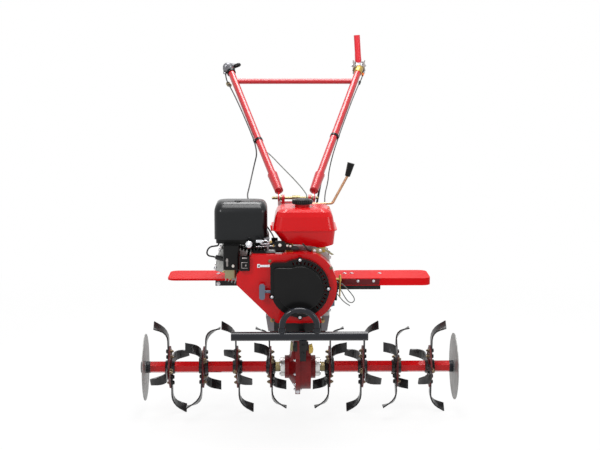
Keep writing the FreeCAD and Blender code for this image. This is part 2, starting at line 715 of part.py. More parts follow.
def tube_point(side, share, out=0.0, under=0.0):
    """A point beside the sloping run of a handle tube: outward of it and below it."""
    base = V(handle_x + side * tube_base[0], tube_base[1], tube_base[2])
    top = V(handle_x + side * tube_top[0], tube_top[1], tube_top[2])
    along = (top - base).normalize()
    outward = (along.cross(Z) * side).normalize()
    below = along.cross(outward) * side
    if below.z > 0:
        below = below * -1
    return base + (top - base) * share + outward * out + below * under


def tube_way(side):
    return (tube_point(side, 1) - tube_point(side, 0)).normalize()


def handlebar():
    lug_in = ear_gap + ear_thick + washer_thick
    lug_out = lug_in + lug_thick
    slope = V(0, tube_way(1).y, tube_way(1).z).normalize()
    angle = math.radians(cross_plate_angle)
    rearward = V(0, math.cos(angle), math.sin(angle))
    lugs = []
    for side in (-1, 1):
        x = sorted((handle_x + side * lug_in, handle_x + side * lug_out))
        start = V(x[0], pivot_y, pivot_z)
        lugs.append(Part.makeCylinder(lug_radius, lug_thick, start, X))
        lugs.append(arm(start, slope, 62, 13))
        lugs.append(arm(start, rearward, cross_plate_at + 8, 10))
    middle = V(handle_x - lug_out, pivot_y, pivot_z) + rearward * cross_plate_at
    across = rearward.cross(X).normalize()
    corners = [middle + rearward * a + across * b for a, b in ((-10, -4), (10, -4), (10, 4), (-10, 4))]
    plate = prism([(c.x, c.y, c.z) for c in corners], (2 * lug_out, 0, 0))
    sleeves, cores = [], []
    for side in SIDES.values():
        way, start = tube_way(side), tube_point(side, 0)
        sleeves.append(Part.makeCone(tube_radius + 2.5, sleeve_radius, sleeve_length, start, way))
        cores.append(Part.makeCylinder(tube_radius, sleeve_length + 400, start, way))
    hole = rod((handle_x - 90, pivot_y, pivot_z), (handle_x + 90, pivot_y, pivot_z),
               pivot_bolt_radius + running_gap)
    yoke = fuse(plate, *lugs, *sleeves).cut(hole)
    for core in cores:
        yoke = yoke.cut(core)
    save("handle_yoke", yoke)

    tubes = {}
    for name, side in SIDES.items():
        points = [tube_point(side, 0), tube_point(side, 1),
                  V(handle_x + side * tube_top[0], tube_end_y - 4, tube_top[2])]
        tube, _ = hose(points, tube_radius, radius=60)
        bore, _ = hose(points, tube_radius - tube_wall, radius=60)
        tubes[name] = tube
        save("handle_tube_" + name, tube.cut(bore))
        x, z = handle_x + side * tube_top[0], tube_top[2]
        grip = rod((x, tube_end_y - grip_length, z), (x, tube_end_y, z), grip_radius)
        save("grip_" + name, grip.cut(tube))
    share = (crossbar_z - tube_base[2]) / (tube_top[2] - tube_base[2])
    bar = rod(tube_point(-1, share), tube_point(1, share), crossbar_radius)
    for side in (-1, 1):
        bar = bar.cut(Part.makeCylinder(tube_radius, 1000, tube_point(side, 0), tube_way(side)))
    save("handle_crossbar", max(bar.Solids, key=lambda s: s.Volume))

    x, z = handle_x - tube_top[0], tube_top[2]
    y = tube_end_y - grip_length - 22
    housing_x, housing_z, housing_radius = x - 8, z + 4, tube_radius + 11
    housing = rod((housing_x, y, housing_z), (housing_x, y + 22, housing_z), housing_radius)
    save("throttle_housing", housing.cut(tubes["right"]))
    start, end = V(x - 6, y - 4, z + 24), V(x + 52, y - 4, z + 20)
    across = (end - start).cross(Y).normalize()
    lever = prism([start + across * 6, start - across * 6, end - across * 4, end + across * 4], (0, 4, 0))
    save("throttle_lever", fuse(lever, rod(start, start + Y * 4, 6)))
    x = handle_x + tube_top[0]
    bracket = rounded_block((x - 29, x + 29), (y, y + 20), (z + 4, z + 36), 6)
    save("clutch_bracket", bracket.cut(tubes["left"]))
    lever = rod((x - 2, y + 10, z + 30), (x - 10, y + 14, clutch_lever_top), 14.5)
    save("clutch_lever", seated(lever, "clutch_bracket"))


def arm(start, way, length, half_width):
    """The flat part of a lug, from the pivot outwards."""
    across = way.cross(X).normalize() * half_width
    far = start + way * length
    return prism([start + across, far + across, far - across, start - across], (lug_thick, 0, 0))


# ---- cables ----

clip_band = 2.0
throttle_clip, clutch_clip = 0.375, 0.41     # along the handle tubes


def cables():
    """Each cable is held by the handlebar at its first point and by the machine at its last."""
    y = tube_end_y - grip_length - 11
    x, z = handle_x - tube_top[0], tube_top[2]
    beside = tube_radius + clip_band
    routes = {
        "throttle_cable": (3.0, "throttle_housing", "control_plate", [
            V(x - 22, y, z - 13), V(x - 22, y - 30, z - 48),
            tube_point(-1, 0.80, out=29), tube_point(-1, 0.55, out=beside + 3.5),
            tube_point(-1, 0.31, out=beside + 3.5), V(-197, 385, 1010), V(-214, 250, 933),
            V(-225, 90, 892), V(-150, -5, 815), V(-105, -20, 748),
            V(-105, case_back - 10, 745)]),
        "reverse_cable": (2.5, "throttle_housing", "gearbox_lid", [
            V(x + 3, y, z - 20), V(x + 3, y - 24, z - 38), tube_point(-1, 0.9, under=beside + 3),
            tube_point(-1, 0.36, under=beside + 3), V(-133, 400, 1063), V(-70, 330, 1003),
            V(-18, 270, 956), V(24, 200, 914), V(34, 112, 899), V(36, 105, gear_top + lid_height)]),
    }
    x = handle_x + tube_top[0]
    routes["clutch_cable"] = (4.5, "clutch_bracket", "gearbox_lid", [
        V(x - 23, y, z + 11), V(x - 23, y - 16, z - 21), tube_point(1, 0.9, under=beside + 5),
        tube_point(1, 0.22, under=beside + 5), V(95, 270, 956), V(74, 150, 871), V(57, 97, 800),
        V(55, 92, gear_top + lid_height)])
    routes["stop_wire"] = (2.5, "clutch_bracket", "crankcase", [
        V(x + 23, y, z + 11), V(x + 23, y - 30, z - 25), tube_point(1, 0.8, out=beside + 3),
        tube_point(1, 0.34, out=beside + 3), V(132, 350, 992), V(125, 270, 947), V(105, 180, 893),
        V(110, 40, 815), V(102, -20, 712), V(102, case_back, 708)])
    runs = {}
    for name, (radius, *holders, points) in routes.items():
        cable, radii = hose(points, radius)
        runs[name] = cable
        tell_radii(name, radii)
        save(name, seated(cable, *holders))
    clips = []
    for side, at, loops in ((-1, throttle_clip, ((beside + 3.5, 0, 3.0),)),
                            (1, clutch_clip, ((beside + 3, 0, 2.5), (0, beside + 5, 4.5)))):
        way = tube_way(side)
        ring = Part.makeCylinder(tube_radius + clip_band, 14, tube_point(side, at), way)
        for out, under, radius in loops:
            eye = Part.makeCylinder(radius + 1.8, 14, tube_point(side, at, out, under), way)
            ring = fuse(ring, eye)
            ring = ring.cut(Part.makeCylinder(radius + touch, 14, tube_point(side, at, out, under), way))
        clips.append(ring.cut(Part.makeCylinder(tube_radius, 14, tube_point(side, at), way)))
    save("cable_clips", *clips)


def main():
    os.makedirs("parts", exist_ok=True)
    rotor()
    gearbox()
    engine()
    induction()
    fuel_tank()
    chassis()
    gear_lever()
    hitch()
    handlebar()
    cables()


main()
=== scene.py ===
import math
import bpy
import bmesh
from mathutils import Matrix, Vector


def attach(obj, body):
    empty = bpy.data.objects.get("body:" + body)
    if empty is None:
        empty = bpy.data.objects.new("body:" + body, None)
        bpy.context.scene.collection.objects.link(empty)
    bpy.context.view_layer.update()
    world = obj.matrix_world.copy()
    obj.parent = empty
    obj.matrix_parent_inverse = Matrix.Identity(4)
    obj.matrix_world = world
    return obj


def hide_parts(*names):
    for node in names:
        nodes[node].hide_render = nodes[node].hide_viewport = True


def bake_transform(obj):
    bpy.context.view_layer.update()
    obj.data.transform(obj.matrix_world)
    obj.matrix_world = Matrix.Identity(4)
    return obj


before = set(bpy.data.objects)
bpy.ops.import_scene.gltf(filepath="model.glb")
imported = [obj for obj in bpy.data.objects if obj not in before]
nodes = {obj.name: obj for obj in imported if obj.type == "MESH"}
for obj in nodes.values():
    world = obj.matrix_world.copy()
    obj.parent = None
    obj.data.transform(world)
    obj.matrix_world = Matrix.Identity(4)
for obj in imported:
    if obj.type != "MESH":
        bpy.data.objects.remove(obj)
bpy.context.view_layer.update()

scene = bpy.context.scene


def tone(r, g, b):
    # a colour written as screen values, 0 to 255
    def linear(value):
        value = value / 255
        return value / 12.92 if value < 0.04045 else ((value + 0.055) / 1.055) ** 2.4
    return (linear(r), linear(g), linear(b), 1.0)


class Wire:
    # a socket that takes part in plain arithmetic
    def __init__(self, board, socket):
        self.board = board
        self.socket = socket

    def maths(self, operation, first, second=0.0):
        return self.board.node("ShaderNodeMath", {"operation": operation}, {0: first, 1: second})

    def __add__(self, other):
        return self.maths("ADD", self, other)

    def __mul__(self, other):
        return self.maths("MULTIPLY", self, other)

    __radd__ = __add__
    __rmul__ = __mul__


class Board:
    # a node tree and the one method that adds a node to it
    def __init__(self, tree):
        self.tree = tree

    def node(self, kind, settings=None, values=None, out=0):
        made = self.tree.nodes.new(kind)
        for key, value in (settings or {}).items():
            if key == "stops":
                ramp = made.color_ramp.elements
                while len(ramp) < len(value):
                    ramp.new(0.5)
                for element, (place, colour) in zip(ramp, value):
                    element.position = place
                    element.color = colour
            else:
                setattr(made, key, value)
        for key, value in (values or {}).items():
            self.join(value, made.inputs[key])
        return Wire(self, made.outputs[out])

    def join(self, value, socket):
        if isinstance(value, Wire):
            self.tree.links.new(value.socket, socket)
        else:
            socket.default_value = value


class Finish(Board):
    # a material: one principled skin whose sockets take values or wires
    def __init__(self, name, **fixed):
        self.material = bpy.data.materials.new(name)
        self.material.use_nodes = True
        super().__init__(self.material.node_tree)
        self.tree.nodes.clear()
        self.output = self.tree.nodes.new("ShaderNodeOutputMaterial")
        self.skin = self.tree.nodes.new("ShaderNodeBsdfPrincipled")
        self.tree.links.new(self.skin.outputs[0], self.output.inputs["Surface"])
        self.set(**fixed)

    def set(self, **values):
        for key, value in values.items():
            self.join(value, self.skin.inputs[key.replace("_", " ")])

    def place(self):
        return self.node("ShaderNodeTexCoord", out="Object")

    def noise(self, scale, detail=3.0, rough=0.5):
        return self.node("ShaderNodeTexNoise", {}, {"Vector": self.place(), "Scale": scale,
                                                    "Detail": detail, "Roughness": rough})

    def ramp(self, factor, *stops):
        return self.node("ShaderNodeValToRGB", {"stops": [(p, (v, v, v, 1)) for p, v in stops]},
                         {0: factor})

    def blend(self, factor, first, second):
        return self.node("ShaderNodeMix", {"data_type": "RGBA"}, {0: factor, 6: first, 7: second}, out=2)

    def bump(self, height, strength, distance):
        return self.node("ShaderNodeBump", {},
                         {"Height": height, "Strength": strength, "Distance": distance})

    def dusted(self, colour, soil, amount):
        # fine dust that gathers in blotches
        mask = self.ramp(self.noise(26.0, 5.0, 0.65), (0.5, 0.0), (0.78, 1.0))
        return self.blend(mask * amount, colour, soil)


finishes = {}


def paint(name, colour, shade, rough, coat, peel=0.006, dust=0.0, coatRough=0.1, shine=0.15):
    # sprayed enamel: orange peel, a slow change of tone and a little dust
    made = Finish(name, Metallic=0.0, Coat_Roughness=coatRough, IOR=1.5, Specular_IOR_Level=shine)
    slow = made.noise(3.5, 2.0)
    fine = made.noise(300.0, 1.0)
    body = made.blend(made.ramp(slow, (0.3, 0.0), (0.75, 1.0)), tone(*colour), tone(*shade))
    made.set(Base_Color=made.dusted(body, tone(122, 112, 100), dust),
             Roughness=made.noise(60.0, 3.0) * 0.1 + (rough - 0.05),
             Coat_Weight=made.noise(9.0, 2.0) * 0.1 + (coat - 0.05),
             Normal=made.bump(fine, peel, 0.0004))
    finishes[name] = made.material


def casting(name, colour, shade, rough, metal=0.0, grain=0.5, dust=0.1):
    # a cast skin, under paint or bare
    made = Finish(name, IOR=1.5, Specular_IOR_Level=0.3)
    lumps = made.noise(260.0, 4.0, 0.65)
    slow = made.noise(14.0, 3.0)
    body = made.blend(made.ramp(slow, (0.35, 0.0), (0.7, 1.0)), tone(*colour), tone(*shade))
    made.set(Base_Color=made.dusted(body, tone(110, 104, 96), dust),
             Metallic=metal, Roughness=lumps * 0.2 + (rough - 0.1),
             Normal=made.bump(lumps, grain, 0.0008))
    finishes[name] = made.material


def plated(name, colour, shade, rough, metal=0.94):
    # bare or plated metal with a fine grain
    made = Finish(name)
    fine = made.noise(180.0, 3.0, 0.6)
    slow = made.noise(22.0, 3.0)
    body = made.blend(made.ramp(slow, (0.35, 0.0), (0.68, 1.0)), tone(*colour), tone(*shade))
    made.set(Base_Color=body,
             Metallic=made.ramp(slow, (0.0, metal), (1.0, metal - 0.1)),
             Roughness=fine * 0.22 + (rough - 0.11), Normal=made.bump(fine, 0.12, 0.0003))
    finishes[name] = made.material


def moulded(name, colour, shade, rough, grain=0.25, coat=0.0, shine=0.3):
    # moulded plastic or rubber with a fine spark-eroded grain
    made = Finish(name, IOR=1.46, Specular_IOR_Level=shine)
    fine = made.noise(900.0, 2.0, 0.6)
    slow = made.noise(8.0, 2.0)
    made.set(Base_Color=made.blend(slow, tone(*colour), tone(*shade)),
             Roughness=fine * 0.12 + (rough - 0.06),
             Coat_Weight=made.noise(12.0) * 0.1 + max(coat - 0.05, 0.0),
             Normal=made.bump(fine, grain, 0.0003))
    finishes[name] = made.material


paint("redEnamel", (202, 6, 14), (184, 4, 10), 0.24, 0.25)
paint("fenderRed", (206, 14, 20), (192, 10, 16), 0.42, 0.05, shine=0.03)
paint("tubeRed", (182, 16, 30), (168, 12, 24), 0.3, 0.4, peel=0.002, coatRough=0.2, shine=0.4)
paint("flangeRed", (98, 22, 24), (78, 17, 20), 0.45, 0.1, dust=0.3)
# a darker red for the strip over the fender's front lip: painted shade of the lip below the fender's lit top
paint("fenderDark", (96, 12, 20), (80, 9, 15), 0.34, 0.2)
casting("castRed", (122, 7, 12), (96, 4, 8), 0.42, 0.0, 0.3, 0.06)
paint("tineBlack", (34, 34, 36), (24, 24, 25), 0.34, 0.3, dust=0.12)
paint("bumperBlack", (13, 16, 26), (8, 11, 19), 0.26, 0.45, coatRough=0.16)
paint("blackSteel", (26, 26, 27), (19, 19, 20), 0.34, 0.2, dust=0.08)
paint("greySteel", (122, 122, 126), (108, 108, 112), 0.4, 0.2, dust=0.15)
plated("discSteel", (158, 158, 156), (134, 134, 132), 0.5, metal=0.7)
plated("yellowZinc", (204, 178, 92), (170, 140, 76), 0.32)
plated("whiteZinc", (208, 208, 211), (186, 186, 192), 0.28)
casting("castAlloy", (182, 182, 180), (154, 154, 152), 0.42, 0.8, 0.35, 0.2)
casting("oliveAlloy", (150, 144, 112), (124, 118, 90), 0.44, 0.6, 0.25, 0.1)
plated("satinAlloy", (214, 214, 212), (198, 198, 196), 0.34)
plated("chrome", (226, 228, 232), (215, 217, 222), 0.14)
plated("oldZinc", (150, 138, 100), (118, 106, 78), 0.38)
plated("dullBolt", (128, 112, 88), (92, 80, 66), 0.4)
plated("brass", (186, 160, 104), (160, 132, 84), 0.34)
plated("rodBronze", (190, 150, 116), (164, 122, 96), 0.3)
plated("podGrey", (132, 132, 136), (104, 104, 108), 0.3)
plated("greyZinc", (160, 154, 152), (136, 130, 128), 0.34)
casting("heatBlack", (40, 38, 37), (50, 46, 43), 0.6, 0.0, 0.3)
moulded("blackPlastic", (16, 16, 16), (10, 10, 11), 0.3, 0.08, 0.1, shine=0.15)
moulded("glossPlastic", (10, 13, 16), (7, 10, 13), 0.3, 0.03, 0.1, shine=0.3)
moulded("greyPlastic", (98, 106, 122), (86, 94, 110), 0.35, 0.2, 0.1)
moulded("whitePlastic", (224, 222, 214), (206, 204, 196), 0.38, 0.1, 0.1)
moulded("orangePlastic", (232, 120, 40), (214, 100, 30), 0.38, 0.1, 0.1)
moulded("gripRubber", (31, 31, 31), (24, 24, 24), 0.6, 0.4)
moulded("cableSheath", (34, 34, 34), (26, 26, 26), 0.4, 0.15, 0.1)
moulded("greySheath", (108, 114, 110), (92, 98, 94), 0.42, 0.15, 0.1)
moulded("redSleeve", (216, 46, 58), (206, 36, 46), 0.4, 0.2, 0.15)
moulded("insideDark", (17, 17, 18), (12, 12, 13), 0.7, 0.1)

print("finishes made:", len(finishes))

frontShift = 0.28875  # metres from the frame's middle forward to the rotor axis
left, right, back, front, up, down = (1, 0, 0), (-1, 0, 0), (0, 1, 0), (0, -1, 0), (0, 0, 1), (0, 0, -1)


def at(x, y, z):
    # millimetres from the rotor axis, to the frame in metres
    return Vector((x / 1000, y / 1000 - frontShift, z / 1000))


def strung(points, radius, sides=5, smooth=10):
    # a smooth wire, rod or cable with the points as its spline's control points
    line = bpy.data.curves.new("run", "CURVE")
    line.dimensions = "3D"
    line.bevel_depth = radius
    line.bevel_resolution = sides
    line.resolution_u = smooth
    line.use_fill_caps = True
    spline = line.splines.new("NURBS")
    spline.points.add(len(points) - 1)
    for knot, place in zip(spline.points, points):
        knot.co = (*place, 1)
    spline.order_u = 3
    spline.use_endpoint_u = True
    holder = bpy.data.objects.new("run", line)
    mesh = bpy.data.meshes.new_from_object(holder)
    bpy.data.objects.remove(holder)
    return mesh


def fitted(mesh, name, finish, body="machine", angle=34):
    # a finished mesh, shaded and given to the body that carries it
    mesh.name = name
    mesh.materials.clear()
    mesh.materials.append(finishes[finish])
    for face in mesh.polygons:
        face.use_smooth = True
        face.material_index = 0
    mesh.set_sharp_from_angle(angle=math.radians(angle))
    made = bpy.data.objects.new(name, mesh)
    scene.collection.objects.link(made)
    if body:
        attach(made, body)
    return made


def bossForm(radius, high, topRadius, top):
    # the profile of a round boss or head with a chamfered rim
    return ((0, 0), (radius, 0), (radius, high), (topRadius, top), (0, top))


class Workpiece:
    # one mesh put together from turned, bevelled, cut and strung forms, sizes in millimetres
    def __init__(self):
        self.shell = bmesh.new()

    def turned(self, profile, base, way=up, sides=32):
        # radius and height pairs turned round a line that leaves base along way
        spin = Vector(way).to_track_quat("Z", "Y")
        rings = []
        for radius, height in profile:
            ring = []
            for step in range(sides if radius else 1):
                angle = math.tau * step / sides
                place = Vector((radius * math.cos(angle), radius * math.sin(angle), height))
                ring.append(self.shell.verts.new(at(*base) + spin @ place / 1000))
            rings.append(ring)
        for low, high in zip(rings, rings[1:]):
            for step in range(sides):
                corners = [low[step % len(low)], low[(step + 1) % len(low)],
                           high[(step + 1) % len(high)], high[step % len(high)]]
                corners = list(dict.fromkeys(corners))
                if len(corners) > 2:
                    self.shell.faces.new(corners)
        return self

    def slab(self, low, high, bevel, turn=None):
        # a block between two corners; turn is an axis and degrees about its own middle
        corners = bmesh.ops.create_cube(self.shell, size=1.0)["verts"]
        low, high = at(*low), at(*high)
        spin = Matrix.Rotation(math.radians(turn[1]), 3, turn[0]) if turn else Matrix.Identity(3)
        for corner in corners:
            offset = Vector(c * (b - a) for c, a, b in zip(corner.co, low, high))
            corner.co = (low + high) / 2 + spin @ offset
        return self.soften(corners, bevel)

    def cut(self, outline, depth, bevel):
        # a flat outline pushed through by depth
        low = [self.shell.verts.new(at(*place)) for place in outline]
        high = [self.shell.verts.new(corner.co + Vector(depth) / 1000) for corner in low]
        self.shell.faces.new(low[::-1])
        self.shell.faces.new(high)
        self.walled(low, high)
        return self.soften(low + high, bevel)

    def crowned(self, low, high, corner, roll, steps=12, sides=8):
        # an upright block with round corners, whose top edge rolls in by roll in x, y and z
        rings = []
        turns = [math.pi / 2 * step / steps for step in range(steps + 1)]
        for level, angle in [(low[2], 0.0)] + [(high[2] - roll[2] * (1 - math.sin(turn)), turn)
                                               for turn in turns]:
            ring = []
            for step in range(4 * (sides + 1)):
                quarter, part = divmod(step, sides + 1)
                way = math.pi / 2 * (quarter + part / sides)
                spot = [level]
                for axis, out in ((1, math.sin(way)), (0, math.cos(way))):
                    reach = (high[axis] - low[axis]) / 2 - roll[axis] * (1 - math.cos(angle)) - corner
                    side = (1 if quarter in ((0, 1), (0, 3))[1 - axis] else -1)
                    spot.insert(0, (low[axis] + high[axis]) / 2 + side * reach + corner * out)
                ring.append(self.shell.verts.new(at(*spot)))
            rings.append(ring)
        self.shell.faces.new(rings[0][::-1])
        self.shell.faces.new(rings[-1])
        for lower, upper in zip(rings, rings[1:]):
            self.walled(lower, upper)
        return self

    def walled(self, lower, upper):
        for step in range(len(lower)):
            after = (step + 1) % len(lower)
            self.shell.faces.new((lower[step], lower[after], upper[after], upper[step]))

    def soften(self, corners, bevel):
        edges = {edge for corner in corners for edge in corner.link_edges}
        bmesh.ops.bevel(self.shell, geom=list(edges), offset=bevel / 1000, segments=2, profile=0.5,
                        affect="EDGES")
        return self

    def wire(self, points, radius, sides=4):
        run = strung([at(*place) for place in points], radius / 1000, sides)
        self.shell.from_mesh(run)
        bpy.data.meshes.remove(run)
        return self

    def done(self, name, finish, body="machine", angle=34):
        bmesh.ops.recalc_face_normals(self.shell, faces=self.shell.faces)
        mesh = bpy.data.meshes.new(name)
        self.shell.to_mesh(mesh)
        self.shell.free()
        return fitted(mesh, name, finish, body, angle)


class Grower(Board):
    # a geometry tree with named inputs, run on points that carry a direction
    def __init__(self, name, **sizes):
        super().__init__(bpy.data.node_groups.new(name, "GeometryNodeTree"))
        face = self.tree.interface
        face.new_socket("Geometry", in_out="OUTPUT", socket_type="NodeSocketGeometry")
        face.new_socket("Geometry", in_out="INPUT", socket_type="NodeSocketGeometry")
        for label, value in sizes.items():
            kind = "NodeSocketInt" if isinstance(value, int) else "NodeSocketFloat"
            face.new_socket(label, in_out="INPUT", socket_type=kind).default_value = value
        face.new_socket("finish", in_out="INPUT", socket_type="NodeSocketMaterial")
        self.start = self.tree.nodes.new("NodeGroupInput")

    def size(self, label):
        return Wire(self, self.start.outputs[label])

    def lifted(self, shape, height):
        lift = self.node("ShaderNodeCombineXYZ", {}, {"Z": height})
        return self.node("GeometryNodeTransform", {}, {"Geometry": shape, "Translation": lift})

    def cone(self, sides, low, high, depth):
        return self.node("GeometryNodeMeshCone", {}, {"Vertices": sides, "Radius Bottom": low,
                                                       "Radius Top": high, "Depth": depth})

    def joined(self, *shapes):
        made = self.tree.nodes.new("GeometryNodeJoinGeometry")
        for shape in shapes:
            self.tree.links.new(shape.socket, made.inputs[0])
        return Wire(self, made.outputs[0])

    def close(self, points, shape, **how):
        # the shape on every point, made real and finished
        placed = self.node("GeometryNodeInstanceOnPoints", {}, {"Points": points, "Instance": shape, **how})
        real = self.node("GeometryNodeRealizeInstances", {}, {0: placed})
        dressed = self.node("GeometryNodeSetMaterial", {},
                            {"Geometry": real, "Material": self.size("finish")})
        end = self.tree.nodes.new("NodeGroupOutput")
        self.tree.links.new(dressed.socket, end.inputs[0])

    def grow(self, name, seeds, edges, finish, body, angle=34, **values):
        mesh = bpy.data.meshes.new(name)
        mesh.from_pydata([place for place, way in seeds], edges, [])
        ways = mesh.attributes.new("way", "FLOAT_VECTOR", "POINT")
        for entry, (place, way) in zip(ways.data, seeds):
            entry.vector = way
        holder = bpy.data.objects.new(name, mesh)
        scene.collection.objects.link(holder)
        growth = holder.modifiers.new("growth", "NODES")
        growth.node_group = self.tree
        values["finish"] = finishes[finish]
        for item in self.tree.interface.items_tree:
            if item.in_out == "INPUT" and item.name in values:
                growth[item.identifier] = values[item.name]
        view = bpy.context.evaluated_depsgraph_get()
        result = bpy.data.meshes.new_from_object(holder.evaluated_get(view), depsgraph=view)
        bpy.data.objects.remove(holder)
        return fitted(result, name, finish, body, angle)


# a bolt: washer, chamfered head and the thread's end
studSizes = {"sides": 6, "head": 0.006, "headHigh": 0.005, "washer": 0.008, "washerHigh": 0.0015,
             "stub": 0.003, "stubHigh": 0.003}
studTree = Grower("studTree", **studSizes)
sides, head, headHigh, washer, washerHigh, stub, stubHigh = [studTree.size(label) for label in studSizes]
studShape = studTree.joined(
    studTree.cone(24, washer, washer * 0.97, washerHigh),
    studTree.lifted(studTree.cone(sides, head, head, headHigh * 0.8), washerHigh),
    studTree.lifted(studTree.cone(sides, head, head * 0.84, headHigh * 0.2), washerHigh + headHigh * 0.8),
    studTree.lifted(studTree.cone(16, stub, stub * 0.8, stubHigh), washerHigh + headHigh))
studWay = studTree.node("GeometryNodeInputNamedAttribute", {"data_type": "FLOAT_VECTOR"}, {"Name": "way"})
studWay = studTree.node("FunctionNodeAlignRotationToVector", {"axis": "Z"}, {"Vector": studWay})
studTree.close(studTree.size("Geometry"), studShape, Rotation=studWay)

# a weld: overlapping beads of uneven size round a seam
weldTree = Grower("weldTree", count=24, bead=0.003, seed=3)
seam = weldTree.node("GeometryNodeMeshToCurve", {}, {0: weldTree.size("Geometry")})
seam = weldTree.node("GeometryNodeResampleCurve", {}, {"Curve": seam, "Count": weldTree.size("count")})
drop = weldTree.node("GeometryNodeMeshUVSphere", {}, {"Segments": 8, "Rings": 6,
                                                       "Radius": weldTree.size("bead")})
swell = weldTree.node("FunctionNodeRandomValue", {"data_type": "FLOAT"},
                      {"Seed": weldTree.size("seed"), 2: 0.82, 3: 1.12}, out=1)
weldTree.close(seam, drop, Scale=swell)

# ribs: thin rounded rings in a row along a line
ribTree = Grower("ribTree", count=20, radius=0.018, rib=0.0012)
row = ribTree.node("GeometryNodeMeshToCurve", {}, {0: ribTree.size("Geometry")})
row = ribTree.node("GeometryNodeCurveToPoints", {"mode": "COUNT"},
                   {"Curve": row, "Count": ribTree.size("count")})
hoop, wall = [ribTree.node("GeometryNodeCurvePrimitiveCircle", {},
                           {"Resolution": steps, "Radius": ribTree.size(label)})
              for steps, label in ((36, "radius"), (8, "rib"))]
hoop = ribTree.node("GeometryNodeCurveToMesh", {}, {"Curve": hoop, "Profile Curve": wall})
ribTree.close(row, hoop, Rotation=Wire(ribTree, row.socket.node.outputs["Rotation"]))
print("workshop ready")


def studs(name, places, head, finish="whiteZinc", body="machine", **sizes):
    # places are (x, y, z, direction); sizes that aren't given follow the head's
    shape = {"headHigh": head * 0.62, "washer": head * 1.32, "washerHigh": head * 0.2,
             "stub": head * 0.48, "stubHigh": head * 0.4, **sizes}
    seeds = [(at(x, y, z), way) for x, y, z, way in places]
    metres = {key: value if key == "sides" else value / 1000 for key, value in shape.items()}
    return studTree.grow(name, seeds, [], finish, body, head=head / 1000, **metres)


def weld(name, rings, bead, finish, body="machine"):
    # rings are (centre, axis, radius) in millimetres
    seeds, edges = [], []
    for centre, way, radius in rings:
        spin = Vector(way).to_track_quat("Z", "Y")
        first = len(seeds)
        for step in range(24):
            angle = math.tau * step / 24
            place = spin @ Vector((radius * math.cos(angle), radius * math.sin(angle), 0)) / 1000
            seeds.append((at(*centre) + place, way))
            edges.append((first + step, first + (step + 1) % 24))
    return weldTree.grow(name, seeds, edges, finish, body, count=30, bead=bead / 1000)

# finishes of the carried-over pieces
wornBy = {
    "redEnamel": ("fuel_tank", "blower_housing", "rotor_tube_left", "rotor_tube_right"),
    "fenderRed": ("fender_left", "fender_right"),
    "tubeRed": ("handle_tube_left", "handle_tube_right", "handle_crossbar", "handle_yoke",
                "handle_column"),
    "flangeRed": ("blade_flanges_left", "blade_flanges_right"),
    "castRed": ("gearbox_case", "gearbox_lid", "clutch_housing"),
    "tineBlack": ("tines_left", "tines_right"),
    "bumperBlack": ("front_bumper", "bumper_hoop"),
    "blackSteel": ("bumper_bracket", "fender_support_left", "fender_support_right", "rear_hitch",
                   "depth_stake", "control_plate"),
    "greySteel": ("engine_mount",),
    "discSteel": ("side_disc_left", "side_disc_right"),
    "yellowZinc": ("tank_feet",),
    "oldZinc": ("rotor_shaft", "clamp_bolt"),
    "rodBronze": ("gear_lever",),
    "whiteZinc": ("throttle_lever", "stake_screw",),
    "greyZinc": ("clutch_bracket",),
    "castAlloy": ("crankcase", "cylinder", "cylinder_head", "rocker_cover"),
    "oliveAlloy": ("carburetor",),
    "satinAlloy": ("bearing_covers", "throttle_housing"),
    "heatBlack": ("muffler",),
    "blackPlastic": ("air_cleaner_base", "carburetor_cover", "recoil_cover", "fuel_cap", "gear_knob",
                     "cable_clips"),
    "greyPlastic": ("recoil_handle",),
    "gripRubber": ("grip_left", "grip_right"),
    "cableSheath": ("spark_plug_lead",),
    "redSleeve": ("clutch_lever",),
}
for finish, names in wornBy.items():
    for name in names:
        for place in nodes[name].material_slots:
            place.material = finishes[finish]
print("carried-over pieces finished")

# cables
# control points in metres: the first at the handlebar, the last at the machine
cableSet = {
    "throttle_cable": {"radius": 0.003, "finish": "cableSheath", "points": (
        (-0.343, 0.6333, 1.408), (-0.343, 0.6033, 1.373), (-0.3018, 0.4487, 1.321),
        (-0.2361, 0.2715, 1.196), (-0.18, 0.0992, 1.076), (-0.197, 0.0963, 1.01),
        (-0.214, -0.0388, 0.933), (-0.225, -0.1988, 0.892), (-0.15, -0.2938, 0.815),
        (-0.105, -0.3088, 0.748), (-0.105, -0.3688, 0.745))},
    "reverse_cable": {"radius": 0.0025, "finish": "greySheath", "points": (
        (-0.318, 0.6333, 1.401), (-0.318, 0.6093, 1.383), (-0.3012, 0.5405, 1.3535),
        (-0.1748, 0.1528, 1.0835), (-0.133, 0.1113, 1.063), (-0.07, 0.0413, 1.003),
        (-0.018, -0.0187, 0.956), (0.024, -0.0887, 0.914), (0.034, -0.1768, 0.899),
        (0.036, -0.1838, 0.734))},
    "clutch_cable": {"radius": 0.0045, "finish": "cableSheath", "points": (
        (0.272, 0.6333, 1.432), (0.272, 0.6173, 1.4), (0.2755, 0.5415, 1.3518),
        (0.1164, 0.0533, 1.0118), (0.095, -0.0187, 0.956), (0.074, -0.1388, 0.871),
        (0.057, -0.1918, 0.8), (0.055, -0.1968, 0.734))},
    "stop_wire": {"radius": 0.0025, "finish": "cableSheath", "points": (
        (0.318, 0.6333, 1.432), (0.318, 0.6033, 1.396), (0.2682, 0.4511, 1.321),
        (0.1605, 0.1209, 1.091), (0.132, 0.0612, 0.992), (0.125, -0.0187, 0.947),
        (0.105, -0.1088, 0.893), (0.11, -0.2487, 0.815), (0.102, -0.3088, 0.712),
        (0.102, -0.3588, 0.708))},
}
flexStart, flexEnd = at(-13, 60, 850), at(-13, 330, 985)  # the cables pass the tilt bolt between these points
